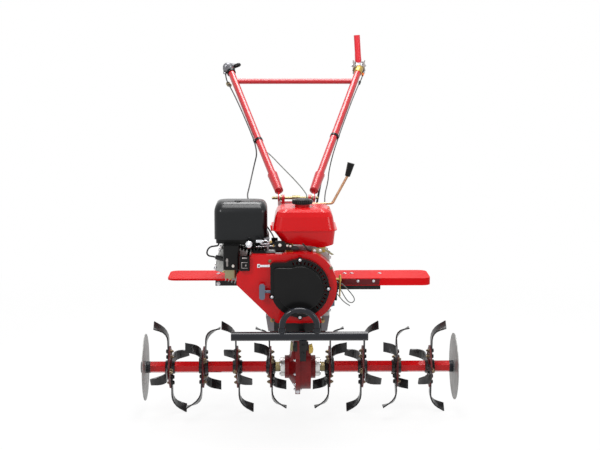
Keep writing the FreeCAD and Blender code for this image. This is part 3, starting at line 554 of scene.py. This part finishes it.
for name, use in cableSet.items():
    run = fitted(strung(use["points"], use["radius"], 4, 14), name + "_run", use["finish"], None, 60)
    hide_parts(name)
    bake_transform(run)
print("cables strung")

# rotor
rotorSet = {"axis": 197.46, "phase": 5, "stations": (123, 262, 404, 544), "phases": (45, 0, 45, 0),
            "boltRings": (44, 69), "hub": 31, "disc": 646, "sleeve": (23, 19.7)}
tipsOut = {1: ((45, 135), (90, 180), (45, 315), (90, 270)), -1: ((45, 135), (0, 90), (135, 225), (90, 180))}


def roundAxis(x, reach, angle):
    turn = math.radians(angle + rotorSet["phase"])
    return (x, reach * math.cos(turn), rotorSet["axis"] + reach * math.sin(turn))


for side, word in ((1, "left"), (-1, "right")):
    heads, nuts, seams, hubs = [], [], [], Workpiece()
    for station, phase, out in zip(rotorSet["stations"], rotorSet["phases"], tipsOut[side]):
        for step in range(4):
            angle = phase + 90 * step
            way = side if angle in out else -side
            for ring in rotorSet["boltRings"]:
                heads.append((*roundAxis(side * station + way * 9, ring, angle), (way, 0, 0)))
                nuts.append((*roundAxis(side * station - way * 3, ring, angle), (-way, 0, 0)))
        for end in (-1, 1):
            middle = side * station + end * 3
            hubs.turned(((24, 0), (rotorSet["hub"] + 1, 0), (rotorSet["hub"], 1), (rotorSet["hub"] - 3, 15),
                         (rotorSet["hub"] - 5, 17), (24, 17)), (middle, 0, rotorSet["axis"]),
                        (end, 0, 0), 36)
            seams.append(((middle + end * 2, 0, rotorSet["axis"]), (1, 0, 0), rotorSet["hub"] + 1))
    hubs.done("stationHubs_" + word, "tineBlack", "rotor")
    weld("hubWelds_" + word, seams, 3.0, "flangeRed", "rotor")
    studs("tineBolts_" + word, heads, 8.5, "blackSteel", "rotor", headHigh=5.5, stubHigh=0.6)
    studs("tineNuts_" + word, nuts, 7.5, "dullBolt", "rotor", headHigh=6, stub=4.6, stubHigh=5)
    face = side * (rotorSet["disc"] + 3)
    spots = [(*roundAxis(face, 62, 45 + 90 * step), (side, 0, 0)) for step in range(4)]
    studs("discBolts_" + word, spots, 6.5, body="rotor", headHigh=1.0, washerHigh=0.6,
          stubHigh=0.5, stub=3)
    inner, reach = rotorSet["sleeve"]
    sleeve = Workpiece()
    for start, way, long in ((0, -side, reach), (3 * side, side, reach - 3)):
        sleeve.turned(((inner - 1, 0), (inner + 1.6, 0), (inner + 1.6, long - 1.4), (inner + 0.4, long),
                       (inner - 1, long)), (side * rotorSet["disc"] + start, 0, rotorSet["axis"]),
                      (way, 0, 0), 40)
    sleeve.done("discSleeve_" + word, "bumperBlack", "rotor")
    weld("discWeld_" + word, [((side * rotorSet["disc"], 0, rotorSet["axis"]), (1, 0, 0), 24)],
         2.4, "discSteel", "rotor")
print("rotor hardware made")

# gearbox
caseSet = {"axis": 197.46, "coverEnd": 82, "coverRing": 32, "rim": 100, "split": (-20, 0),
           "lidTop": 734}
spots = []
for side in (-1, 1):
    for step in range(6):
        angle = math.radians(30 + 60 * step)
        spots.append((side * caseSet["coverEnd"], caseSet["coverRing"] * math.cos(angle),
                      caseSet["axis"] + caseSet["coverRing"] * math.sin(angle), (side, 0, 0)))
studs("coverBolts", spots, 4.6, headHigh=3.4, washer=5.2, stubHigh=0.2)
spots = []
for degrees in (150, 185, 215, 247, 293, 325, 355, 30):
    angle = math.radians(degrees)
    spots.append((caseSet["split"][0], (caseSet["rim"] - 5) * math.cos(angle),
                  caseSet["axis"] + (caseSet["rim"] - 5) * math.sin(angle), right))
studs("splitBolts", spots, 5.5, headHigh=5, washer=6.6)
studs("splitNuts", [(caseSet["split"][1], y, z, left) for x, y, z, way in spots if abs(y) > 96 or z < 120],
      5.5, headHigh=4.5, washer=6.6)
neckSet = {"y": -78, "left": (-43, -31, 284, 320), "right": (36, 54, 276, 316), "dark": (-29, -13, 284, 324)}
clamps = Workpiece()
x, far, z, top = neckSet["left"]
clamps.cut(((x, -88, z + 6), (far, -88, z), (far, -88, top), (x + 4, -88, top + 8)), (0, 14, 0), 1.2)
clamps.done("neckClampLeft", "oliveAlloy")
clamps = Workpiece()
x, far, z, top = neckSet["right"]
clamps.cut(((x, -88, z), (far - 4, -88, z), (far, -88, z + 16), (far - 6, -88, top), (x, -88, top - 6)),
           (0, 12, 0), 1.2)
clamps.turned(bossForm(7, 5, 5.6, 6.4), (45, -88, 300), front, 6)
clamps.done("neckClampRight", "yellowZinc")
clamps = Workpiece()
x, far, z, top = neckSet["dark"]
clamps.slab((x, -90, z), (far, neckSet["y"], top), 1.6)
clamps.slab((22, -90, z + 4), (33, neckSet["y"], top), 1.6)
clamps.turned(bossForm(4.5, 3, 3.4, 4), (-21, -90, 304), front, 6)
clamps.done("neckClampPads", "blackSteel")
studs("lidBolts", [(x, y, caseSet["lidTop"], up) for x, y in
                   ((-56, 21), (56, 21), (-56, 217), (56, 217), (-56, 119), (56, 140), (0, 217))],
      5.5, headHigh=5, washer=7)
plug = Workpiece()
plug.turned(((0, 0), (15, 0), (15, 3), (12, 4), (12, 6), (10, 7), (0, 7)), (-32, 60, caseSet["lidTop"]))
plug.turned(((0, 6), (9.5, 6), (9.5, 14), (8.4, 15.5), (0, 15.5)), (-32, 60, caseSet["lidTop"]), sides=6)
plug.done("fillerPlug", "blackPlastic")
Workpiece().turned(((0, 0), (11, 0), (11, 2.4), (9.6, 3), (9.6, 9), (8.4, 10.5), (0, 10.5)),
             (-10, -17, 96), front, sides=6).done("levelPlug", "whiteZinc")
bell = [(-6 + 104 * math.cos(math.radians(a)), -63, 606 + 104 * math.sin(math.radians(a)), front)
        for a in (-60, -120, 180, 0)]
studs("bellBolts", bell, 6, headHigh=5, washer=7.5)
print("gearbox hardware made")

# engine front
recoilSet = {"front": -383, "screws": ((-6, 717), (104, 604), (-6, 492), (-114, 573)),
             "housing": ((-122, 708), (115, 680), (-110, 475), (84, 479)), "wall": -350}
pads = Workpiece()
for x, z in recoilSet["screws"]:
    pads.turned(((0, -8), (11, -8), (9.4, 0), (0, 0)), (x, recoilSet["front"], z), front, 28)
pads.done("screwPads", "blackPlastic")
studs("recoilScrews", [(x, recoilSet["front"], z, front) for x, z in recoilSet["screws"]],
      4.2, headHigh=3.4, washer=5.8, washerHigh=0.8, stubHigh=0.2)
studs("housingScrews", [(x, recoilSet["wall"], z, front) for x, z in recoilSet["housing"]],
      5.0, "dullBolt", headHigh=4, washer=6.6, stubHigh=0.4)

clipSet = {"x": (-168, -121), "z": 689, "y": -350}
clip = Workpiece()
clip.slab((clipSet["x"][0], clipSet["y"] - 3, clipSet["z"] - 4.5),
          (clipSet["x"][1], clipSet["y"], clipSet["z"] + 4.5), 1.2)
clip.slab((-171, -353, 682), (-160, -348, 697), 1.2)
clip.turned(bossForm(4.6, 2, 3.4, 3.2), (-126, -353, 689), front, 20)
clip.done("housingClip", "chrome")

studs("mountBolts", [(x, -262, z, front) for x, z in ((-113, 456), (85, 452))],
      7.0, "brass", headHigh=5.5, washer=9.5, stubHigh=2)
studs("footBolts", [(x, y, 472, up) for x in (-129, 103) for y in (-246, -80)],
      5.2, headHigh=5, washer=7)
studs("footNuts", [(x, y, 468, down) for x in (-127, 101) for y in (-246, -80)],
      5.2, headHigh=5, washer=7)
oil = Workpiece()
for x, z, way in ((119, 512, left), (-127, 512, right)):
    oil.turned(((0, -14), (15, -14), (15, 2), (14, 4), (13, 4), (13, 8), (12, 9), (0, 9)), (x, -210, z), way)
    oil.slab((min(x, x + way[0] * 16), -213, z - 11), (max(x, x + way[0] * 16), -207, z + 11), 1.5)
oil.done("oilPlugs", "greyPlastic")

headSet = {"crank": (-6, 606), "tilt": 15, "end": 336, "middleY": -167.5, "spreadY": 46, "spread": 38}
lean = math.radians(headSet["tilt"])
outward, across = Vector((-math.cos(lean), 0, math.sin(lean))), Vector((math.sin(lean), 0, math.cos(lean)))
middle = Vector((headSet["crank"][0], headSet["middleY"], headSet["crank"][1])) + outward * headSet["end"]
spots = []
for y in (-1, 1):
    for rise in (-1, 1):
        spot = middle + across * rise * headSet["spread"] + Vector((0, y * headSet["spreadY"], 0))
        spots.append((*spot, outward))
studs("rockerBolts", spots, 5.4, headHigh=4.6, washer=7.6, stubHigh=0.4)
rocker = Workpiece()
for y in (-1, 0, 1):
    low, high = middle - across * 30, middle + across * 30
    rocker.wire((tuple(low + Vector((0, y * 22, 0))), tuple(middle + Vector((0, y * 22, 0)) + outward * 1.5),
                 tuple(high + Vector((0, y * 22, 0)))), 3.2)
rocker.done("rockerRibs", "castAlloy")

crankSet = {"x": 110, "y": (-258, -78), "z": (480, 716), "ring": ((-246, 492), (-168, 486), (-90, 492),
                                                                  (-84, 600), (-90, 704), (-168, 712),
                                                                  (-246, 704), (-252, 600))}
sideCover = Workpiece()
sideCover.slab((crankSet["x"] - 4, crankSet["y"][0], crankSet["z"][0]),
               (crankSet["x"] + 3, crankSet["y"][1], crankSet["z"][1]), 3.0)
for z in (520, 545, 655, 680):
    sideCover.slab((crankSet["x"] + 1, -232, z - 3), (crankSet["x"] + 6, -104, z + 3), 1.6)
sideCover.done("crankcaseCover", "castAlloy")
studs("crankcaseBolts", [(crankSet["x"] + 3, y, z, left) for y, z in crankSet["ring"]],
      5.4, headHigh=4.6, washer=7, stubHigh=0.4)
print("engine front made")

# controls between the engine and its tank
boss = Workpiece()
boss.turned(((0, 0), (12.6, 0), (14, 2), (14, 14), (11, 18), (0, 19)), (-203, -312, 768), front, 32)
boss.turned(((0, 19), (6, 19), (6, 23), (5, 24), (0, 24)), (-203, -312, 768), front, 6)
boss.slab((-176, -320, 775), (-150, -312, 786), 1.6)
boss.wire(((-176, -308, 757), (-140, -308, 759), (-112, -306, 760), (-84, -304, 757)), 1.4)
boss.wire(((-150, -316, 781), (-138, -318, 784), (-128, -316, 779), (-122, -312, 770)), 2.2)
boss.done("throttleLinks", "chrome")
coilPoints = []
for step in range(13 * 12 + 1):
    angle = math.tau * step / 12
    coilPoints.append((-158 + 34 * step / (13 * 12), -306 + 4.2 * math.cos(angle),
                       768 + 4.2 * math.sin(angle)))
spring = Workpiece()
spring.wire([(-163, -306, 768)] + coilPoints + [(-119, -306, 768)], 0.8, 2)
spring.done("governorSpring", "whiteZinc")
plate = Workpiece()
plate.cut(((-152, -297, 766), (-112, -297, 772), (-62, -297, 769), (-8, -297, 753), (-8, -297, 743),
           (-80, -297, 741), (-146, -297, 745)), (0, 4, 0), 1.0)
plate.slab((-60, -303, 748), (-24, -296, 755), 1.4)
plate.turned(bossForm(4, 2.6, 3, 3.6), (-16, -297, 748), front, 20)
plate.done("controlBracket", "blackSteel")
arm = Workpiece()
arm.cut(((-146, -312, 790), (-124, -312, 796), (-122, -312, 788), (-141, -312, 782)), (0, 3, 0), 0.5)
arm.cut(((-134, -310, 766), (-127, -310, 766), (-125, -310, 744), (-133, -310, 744)), (0, 3, 0), 0.5)
arm.done("governorArm", "greySteel")
drops = Workpiece()
drops.turned(bossForm(6, 5, 4.4, 7), (-118, -311, 777), front, 6)
drops.turned(bossForm(5, 5, 3.6, 7), (-108, -311, 762), front, 6)
drops.done("linkNuts", "brass")
block = Workpiece()
block.slab((-101, -322, 737), (-63, -300, 780), 3.0)
block.turned(((0, 0), (12, 0), (12, 5), (10, 6.5), (6, 6.5), (5, 4.5), (0, 4.5)), (-83, -322, 766), front)
block.done("governorBlock", "blackPlastic")
knob = Workpiece()
knob.turned(bossForm(6.5, 2.2, 5.4, 3), (-83, -326.5, 766), front, 24)
for x, z in ((-54, 762), (-42, 760)):
    knob.slab((x - 4, -316, z - 3.5), (x + 4, -309, z + 3.5), 1.2)
knob.done("linkCaps", "whitePlastic")
ears = Workpiece()
ears.wire(((5, -312, 770), (14, -314, 762), (20, -312, 750), (30, -308, 742), (38, -304, 739)), 3.4)
ears.slab((-40, -306, 741), (-10, -300, 756), 1.2)
ears.done("fuelHose", "cableSheath")
bracket = Workpiece()
bracket.slab((44, -316, 731), (82, -312, 752), 1.0, ("Y", -6))
bracket.cut(((78, -316, 752), (88, -316, 752), (128, -316, 727), (118, -316, 725)), (0, 5, 0), 0.8)
bracket.done("tankBracket", "oliveAlloy")
studs("tankBracketBolts", [(52, -316, 742, front), (74, -316, 744, front)],
      4.6, headHigh=3.4, washer=6)

coverSet = {"low": (-341, -267, 778), "high": (-133, -93, 926), "corner": 31, "roll": (25, 54, 44),
            "recess": (-248, -218, 925.4)}
cover = Workpiece()
cover.crowned(coverSet["low"], coverSet["high"], coverSet["corner"], coverSet["roll"])
cleanerCover = cover.done("cleanerCover", "glossPlastic", angle=40)
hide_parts("air_cleaner_cover")

spot = Workpiece()
spot.turned(((0, -3), (15, -3), (15, 0.6), (13, 1.4), (11, 0.6), (10, -1.0), (0, -1.0)), coverSet["recess"])
spot.done("coverRecess", "insideDark")
levers = Workpiece()
levers.turned(((0, 0), (5, 0), (5.4, 1.6), (5.4, 4.6), (4.2, 6), (0, 6)), (-265, -322, 684), front, 28)
levers.done("chokeKnob", "whitePlastic")
slider = Workpiece()
slider.slab((-292, -325, 682), (-284, -321, 713), 1.6)
slider.slab((-293, -328, 700), (-283, -323, 708), 1.4)
slider.done("chokeSlider", "greyZinc")
box = Workpiece()
box.slab((-228, -381, 722), (-209, -377, 726.5), 0.8)
box.slab((-231, -380, 684), (-228.6, -377, 708), 0.6)
box.slab((-231, -380, 706), (-207, -377, 708.4), 0.6)
box.slab((-231, -380, 684), (-207, -377, 686.4), 0.6)
box.turned(bossForm(3.4, 2, 2.4, 3), (-214, -378, 695), front, 20)
box.done("controlTrim", "greyZinc")
bowl = Workpiece()
bowl.turned(((0, 0), (9, 0), (9, 4), (6.4, 4), (6.4, 10), (5.2, 11.4), (0, 11.4)),
            (-276, -279, 634), down, 6)
bowl.turned(bossForm(4, 9, 3, 10), (-298, -270, 652), right, 12)
bowl.done("bowlNut", "brass")
print("controls made")

# tank
capSet = {"x": 6, "y": -190, "top": 928, "ribRing": 38.4, "ribBase": 912.5, "ribs": 30}
cap = Workpiece()
cap.turned(((0, -1), (30, -1), (30, 1.5), (26, 3.2), (0, 3.4)),
           (capSet["x"], capSet["y"], capSet["top"] - 1))
cap.slab((capSet["x"] - 26, capSet["y"] - 3, 928), (capSet["x"] + 26, capSet["y"] + 3, 931), 1.4)
for step in range(capSet["ribs"]):
    angle = math.tau * step / capSet["ribs"]
    x = capSet["x"] + capSet["ribRing"] * math.cos(angle)
    y = capSet["y"] + capSet["ribRing"] * math.sin(angle)
    cap.turned(bossForm(2.4, 11, 1.4, 13), (x, y, capSet["ribBase"]), up, 8)
cap.done("capGrip", "blackPlastic")
flap = Workpiece()
flap.cut(((-121, -292, 838), (-112, -292, 838), (-112, -292, 817), (-118, -292, 817)), (0, 14, 0), 0.6)
flap.done("seamTab", "redEnamel")
print("tank trim made")

# right of the engine
side = Workpiece()
side.wire(((157, -200, 622), (157, -200, 604), (156, -200, 580), (156, -200, 538)), 3.0)
side.turned(((0, 0), (6, 0), (6, 14), (4.6, 16), (4.6, 24), (3.4, 25), (0, 25)), (157, -200, 600), up, 20)
side.slab((110, -206, 606), (154, -194, 612), 1.2)
side.done("sideRod", "yellowZinc")
switch = Workpiece()
switch.slab((108, -214, 556), (149, -186, 598), 3.0)
switch.slab((134, -206, 522), (145, -194, 560), 1.6)
switch.turned(bossForm(8, 4, 6, 6), (128, -214, 578), front, 24)
switch.done("sideSwitch", "blackPlastic")
loop = Workpiece()
loop.wire(((150, -200, 594), (163, -200, 592), (186, -200, 569), (219, -201, 528), (208, -202, 511),
           (190, -201, 515), (173, -200, 540), (160, -199, 566), (147, -198, 574)), 2.0)
loop.wire(((143, -204, 552), (162, -206, 528), (178, -207, 512), (197, -208, 501)), 2.0)
loop.done("sideLead", "greySheath")
print("side trim made")

# exhaust
muffler = Workpiece()
for z in (668, 690, 712, 734, 756):
    muffler.slab((-296, -66.6, z - 3.5), (-144, -63, z + 3.5), 1.6)
muffler.turned(((0, 0), (13, 0), (13, 20), (11.4, 20), (11.4, 4), (0, 4)), (-262, -20, 783), up, 28)
muffler.done("mufflerRibs", "heatBlack")
studs("mufflerBolts", [(x, -66, z, front) for x in (-300, -140) for z in (655, 770)],
      4.6, "greySteel", headHigh=3.6, washer=6.4)
print("exhaust made")

# bumper, fenders and hitch
bumperSet = {"y": -450, "z": 434, "ends": (-270, 253), "legs": (-75, 58)}
caps = Workpiece()
for x, way in zip(bumperSet["ends"], (right, left)):
    caps.turned(((0, -1.5), (13.2, -1.5), (13.2, -0.5), (12, 0), (0, 0)),
                (x, bumperSet["y"], bumperSet["z"]), way)
caps.done("bumperPlugs", "blackPlastic")
weld("bumperWelds", [((x, bumperSet["y"], bumperSet["z"] + 16.4), (0, 0, 1), 13.2)
                     for x in bumperSet["legs"]], 2.4, "bumperBlack")
studs("bracketBolts", [(4.5, -454, z, front) for z in (398, 366)],
      6.2, "blackSteel", headHigh=5, washer=8.5)

fenderSet = {"bolts": {1: (187, 216, 333), -1: (190, 225, 340)}, "front": -82}
# a thin dark red strip over the right fender's front lip, held by two bolts like a bracket; its dark tone is
# painted shade of the lip
angle = Workpiece()
angle.cut(((150, -85, 586), (326, -85, 586), (322, -85, 562), (150, -85, 562)), (0, 3, 0), 0.8)
angle.done("fenderLipShadeStrip", "fenderDark")
studs("lipBolts", [(x, fenderSet["front"] - 3, 578, front) for x in (236, 300)],
      4.0, headHigh=2.6, washer=5.6, sides=20, stubHigh=0.2)
fenderHeads, fenderNuts = [], []
for side, places in fenderSet["bolts"].items():
    for x in places:
        fenderHeads.append((side * x, 30, 589, up))
        fenderNuts.append((side * x, 4, 552, front))
studs("fenderBolts", fenderHeads, 6, headHigh=2.4, washer=9,
      washerHigh=1.0, sides=24, stubHigh=0.2)
studs("supportBolts", fenderNuts, 6.4, headHigh=5, washer=8.4)
studs("gearSideBolts", [(side * 81, y, z, (side, 0, 0)) for side in (-1, 1) for y in (24, 74)
                        for z in (556, 582)], 6.2, headHigh=5, washer=8)

hitchSet = {"half": 36, "boltsY": (130, 170), "boltsZ": (300, 360)}
studs("hitchBolts", [(side * hitchSet["half"], y, z, (side, 0, 0)) for side in (-1, 1)
                     for y in hitchSet["boltsY"] for z in hitchSet["boltsZ"]],
      6.6, "yellowZinc", headHigh=5.6, washer=8.8, stubHigh=3)
print("chassis hardware made")

# gear lever
leverSet = {"x": 40, "y": 60, "base": 734}
gate = Workpiece()
gate.turned(((0, 0), (24, 0), (24, 3), (21, 5), (17, 8), (15, 14), (16, 17), (13, 20), (14, 23), (10, 27),
             (0, 27)), (leverSet["x"], leverSet["y"], leverSet["base"]), up, 40)
gate.done("leverBoot", "gripRubber", angle=50)
grommet = Workpiece()
grommet.turned(((0, 0), (9, 0), (10, 3), (9, 6), (7, 7), (0, 7)), (197, 60, 994), (0.267, 0, 0.964), 28)
grommet.done("knobCollar", "blackPlastic")

# handlebar
barSet = {"middle": -13, "crossZ": 1366}
topLeft, baseLeft = Vector((295, 890, 1421)), Vector((61, 172, 921))
topRight, baseRight = Vector((-321, 890, 1421)), Vector((-87, 172, 921))
slopeLeft, slopeRight = (topLeft - baseLeft).normalized(), (topRight - baseRight).normalized()
seams = []
for base, top, slope in ((baseLeft, topLeft, slopeLeft), (baseRight, topRight, slopeRight)):
    seams.append((base + slope * 108, slope, 17))
    share = (barSet["crossZ"] - base.z) / (top.z - base.z)
    spot = base + (top - base) * share
    inward = 1 if base.x < barSet["middle"] else -1
    seams.append(((spot.x + inward * 15.5, spot.y, spot.z), (1, 0, 0), 10.5))
plugs = Workpiece()
for base, slope in ((baseLeft, slopeLeft), (baseRight, slopeRight)):
    plugs.turned(((0, 3), (15.4, 3), (15.4, 0), (13, -2.4), (8, -4), (0, -4.6)), base,
                 slope, 36)
plugs.done("tubePlugs", "tubeRed", "handlebar")
weld("barWelds", seams, 2.2, "tubeRed", "handlebar")

for word, x in (("left", 295), ("right", -321)):
    line = [(at(x, 941, 1421), back), (at(x, 1033, 1421), back)]
    ribTree.grow("gripRibs_" + word, line, [(0, 1)], "gripRubber", "handlebar",
                 angle=60, count=16, radius=0.0183, rib=0.0013)
ends = Workpiece()
for x in (295, -321):
    ends.turned(((0, -4), (18.5, -4), (20.5, -2), (20.5, 2), (18, 4), (0, 4)), (x, 939, 1421), back, 40)
ends.done("gripCollars", "gripRubber", "handlebar")

throttleSet = {"x": -329, "y": 911, "z": 1425}
dial = Workpiece()
x, y, z = throttleSet["x"], throttleSet["y"], throttleSet["z"]
dial.turned(((0, 0), (26, 0), (27, 1.6), (27, 4), (25, 6), (17, 6.6), (15, 8.4), (0, 9)), (x, y + 1, z),
            front, 48)
dial.turned(((0, 0), (19, 0), (21.4, 2), (22, 5), (22, 34), (20.6, 38), (16, 41), (9, 42.4), (8, 41),
             (4, 41), (3, 43), (0, 43)), (-332, 903, 1431), front, 48)
dial.done("throttlePod", "podGrey", "handlebar", 30)
studs("throttleScrew", [(x + 14, y - 7.6, z + 2, front)], 3.6, "chrome", "handlebar", headHigh=3,
      washer=5, sides=24)
band = Workpiece()
band.turned(((16.2, 0), (20, 0), (21, 1.2), (21, 17), (20, 18.4), (16.2, 18.4)),
            topRight - slopeRight * 34, slopeRight, 40)
band.slab((-352, 872, 1398), (-338, 890, 1412), 2.6)
band.slab((-314, 872, 1386), (-302, 890, 1402), 2.6)
band.done("throttleClamp", "blackPlastic", "handlebar")
studs("throttleClampScrew", [(-308, 872, 1394, front), (-345, 872, 1405, front)],
      3.4, body="handlebar", headHigh=2.6, washer=4.6)
guide = Workpiece()
guide.turned(((3.2, 0), (7, 0.6), (9.6, 4), (9.8, 24), (7.4, 28), (5, 34), (3.2, 35)), (-331, 862, 1356),
             (0.26, -0.91, -0.31), 24)
guide.slab((-328, 836, 1340), (-312, 852, 1352), 2)
guide.done("cableGuide", "oldZinc", "handlebar")
tip = Workpiece()
tip.turned(((0, 0), (5.4, 0.6), (8.4, 3.4), (9.6, 8), (9.8, 24), (9, 30), (6.4, 34), (3, 36), (0, 36.4)),
           (-304, 902, 1432), (0.93, -0.06, 0.37), 32)
tip.done("throttleTip", "blackPlastic", "handlebar")

fork = Workpiece()
for x in (267, 319):
    fork.cut(((x, 908, 1400), (x, 934, 1400), (x, 934, 1444), (x, 926, 1452), (x, 914, 1452),
              (x, 908, 1444)), (4, 0, 0), 0.8)
for x, lean in ((273, -1), (317, 1)):
    fork.cut(((x + lean * 8, 903, 1464), (x + lean * 2, 903, 1464), (x - lean * 4, 903, 1424),
              (x + lean * 2, 903, 1412), (x + lean * 10, 903, 1412), (x + lean * 3, 903, 1436)),
             (0, 5, 0), 0.8)
fork.slab((267, 905, 1404), (323, 911, 1412), 1.0)
fork.turned(bossForm(6, 62, 5, 64), (264, 921, 1438), left, 20)
fork.done("clutchFork", "greyZinc", "handlebar")
plate = Workpiece()
plate.slab((280, 901, 1424), (310, 906, 1452), 3.0)
plate.turned(bossForm(7, 3, 5.6, 4.6), (295, 901, 1438), front, 24)
plate.done("clutchPlate", "whiteZinc", "handlebar")
collar = Workpiece()
collar.turned(((15.8, 0), (18, 0), (18.6, 1), (18.6, 42), (18, 43), (15.8, 43)),
              topLeft - slopeLeft * 34, slopeLeft, 40)
collar.slab((291, 858, 1392), (299, 872, 1424), 2.0, ("X", -34))
collar.done("clutchCollar", "yellowZinc", "handlebar")
flare = Workpiece()
flare.turned(((0, 0), (14.6, 0), (15.8, 1.4), (15.4, 16), (14.7, 40), (0, 40)), (293, 931, 1456),
             (-0.064, 0.032, 0.997), 36)
flare.turned(((0, 0), (14.9, 0), (15, 1.4), (14, 3.6), (0, 3.6)), (285.3, 934.8, 1578),
             (-0.064, 0.032, 0.997), 36)
flare.done("leverSleeveEnds", "redSleeve", "handlebar")
studs("clutchBolts", [(323, 921, 1438, left), (264, 921, 1438, right), (317, 908, 1404, front),
                      (272, 908, 1404, front)], 5.6, body="handlebar", headHigh=5, washer=7.6)
joinSet = {"leadTag": ((311.8, 880.5, 1395.6), "orangePlastic", 6.2, 17),
           "leadPlug": ((293.1, 816, 1358.5), "blackPlastic", 5.6, 22)}
for name, (spot, finish, radius, length) in joinSet.items():
    Workpiece().turned(((0, -length / 2), (radius - 1, -length / 2), (radius, 1 - length / 2), (radius, 0),
                   (radius - 1, 0.6), (radius - 1, length / 2 - 1), (radius - 2, length / 2),
                   (0, length / 2)), spot, (-0.19, -0.8, -0.56), 20).done(name, finish, "handlebar")
ferrules = Workpiece()
for x, y, z, r in ((272, 922, 1432, 6.4), (318, 922, 1432, 4.4), (-343, 922, 1408, 4.8),
                   (-318, 922, 1401, 4.2)):
    ferrules.turned(((0, 0), (r, 0), (r, 9), (r * 0.85, 11), (r * 0.85, 17), (r * 0.7, 18), (0, 18)),
                    (x, y, z + 2), (0, -0.35, -0.94), 20)
ferrules.done("cableFerrules", "whiteZinc", "handlebar")

tiltSet = {"axis": (156, 892), "washer": 19, "nut": 11}
tilt = Workpiece()
washer, nut = tiltSet["washer"], tiltSet["nut"]
for x, way, high in ((-82.4, right, 9), (56.5, left, 10)):
    tilt.turned(((0, 0), (washer, 0), (washer, 2.4), (0, 2.4)), (x, *tiltSet["axis"]), way)
    tilt.turned(((0, 2.4), (nut, 2.4), (nut, high), (nut - 1.4, high + 1.6), (0, high + 1.6)),
                (x, *tiltSet["axis"]), way, 6)
tilt.done("tiltNuts", "whiteZinc")
print("handlebar hardware made")

# camera, light and floor
cameraSet = {"lens": 74.8, "place": (-0.075, -5.38875, 1.53), "down": 8.165, "aside": 0.84}
lens = bpy.data.cameras.new("camera")
lens.lens = cameraSet["lens"]
camera = bpy.data.objects.new("camera", lens)
camera.location = cameraSet["place"]
camera.rotation_euler = (math.radians(90 - cameraSet["down"]), 0, math.radians(-cameraSet["aside"]))
scene.collection.objects.link(camera)
scene.camera = camera
scene.view_settings.view_transform = "Standard"

lampSet = {
    "topLamp": {"place": (0.1, -0.9, 4.2), "size": 2.0, "power": 108},
    "frontLamp": {"place": (-2.2, -4.2, 3.0), "size": 0.9, "power": 66},
    "sideLamp": {"place": (3.4, -3.0, 2.2), "size": 1.4, "power": 34},
    "backLamp": {"place": (0.0, 1.5, 4.2), "size": 1.6, "power": 88},
}
for name, use in lampSet.items():
    lamp = bpy.data.lights.new(name, "AREA")
    lamp.size = use["size"]
    lamp.energy = use["power"]
    stand = bpy.data.objects.new(name, lamp)
    stand.location = use["place"]
    stand.rotation_euler = (Vector((0, 0, 0.7)) - stand.location).to_track_quat("-Z", "Y").to_euler()
    scene.collection.objects.link(stand)


def seenBy(board, *rays):
    # 1 where one of these rays looks, 0 for the light that falls on the object
    looks = board.node("ShaderNodeLightPath", out=rays[0])
    for ray in rays[1:]:
        looks = looks.maths("MAXIMUM", looks, board.node("ShaderNodeLightPath", out=ray))
    return looks


skySet = {"onObject": 0.32, "shown": 1.0}
world = bpy.data.worlds.new("studio")
scene.world = world
world.use_nodes = True
world.node_tree.nodes.clear()
sky = Board(world.node_tree)
seenSky = seenBy(sky, "Is Camera Ray", "Is Glossy Ray", "Is Transmission Ray")
level = seenSky * (skySet["shown"] - skySet["onObject"]) + skySet["onObject"]
glowing = sky.node("ShaderNodeBackground", {}, {"Color": (1, 1, 1, 1), "Strength": level})
worldEnd = world.node_tree.nodes.new("ShaderNodeOutputWorld")
world.node_tree.links.new(glowing.socket, worldEnd.inputs["Surface"])

floorSet = {"half": 12.0, "colour": (0.9, 0.9, 0.9, 1), "glow": 0.9, "fade": (1.2, 3.4)}
half = floorSet["half"]
floorMesh = bpy.data.meshes.new("floor")
floorMesh.from_pydata([(-half, -half, 0), (half, -half, 0), (half, half, 0), (-half, half, 0)], [],
                      [(0, 1, 2, 3)])
floor = bpy.data.objects.new("floor", floorMesh)
scene.collection.objects.link(floor)
ground = Finish("floorFinish", Base_Color=floorSet["colour"], Roughness=0.9)
glow = ground.node("ShaderNodeEmission", {}, {"Color": (1, 1, 1, 1), "Strength": 1.0})
away = ground.node("ShaderNodeVectorMath", {"operation": "LENGTH"}, {0: ground.place()}, out="Value")
near, far = floorSet["fade"]
faded = ground.node("ShaderNodeMapRange", {"interpolation_type": "SMOOTHSTEP"},
                    {"Value": away, "From Min": near, "From Max": far, "To Min": floorSet["glow"],
                     "To Max": 1.0})
mixed = ground.node("ShaderNodeMixShader", {},
                    {0: seenBy(ground, "Is Camera Ray", "Is Glossy Ray", "Is Transmission Ray") * faded,
                     1: Wire(ground, ground.skin.outputs[0]), 2: glow})
ground.tree.links.new(mixed.socket, ground.output.inputs["Surface"])
floorMesh.materials.append(ground.material)
print("camera, lamps and floor placed")
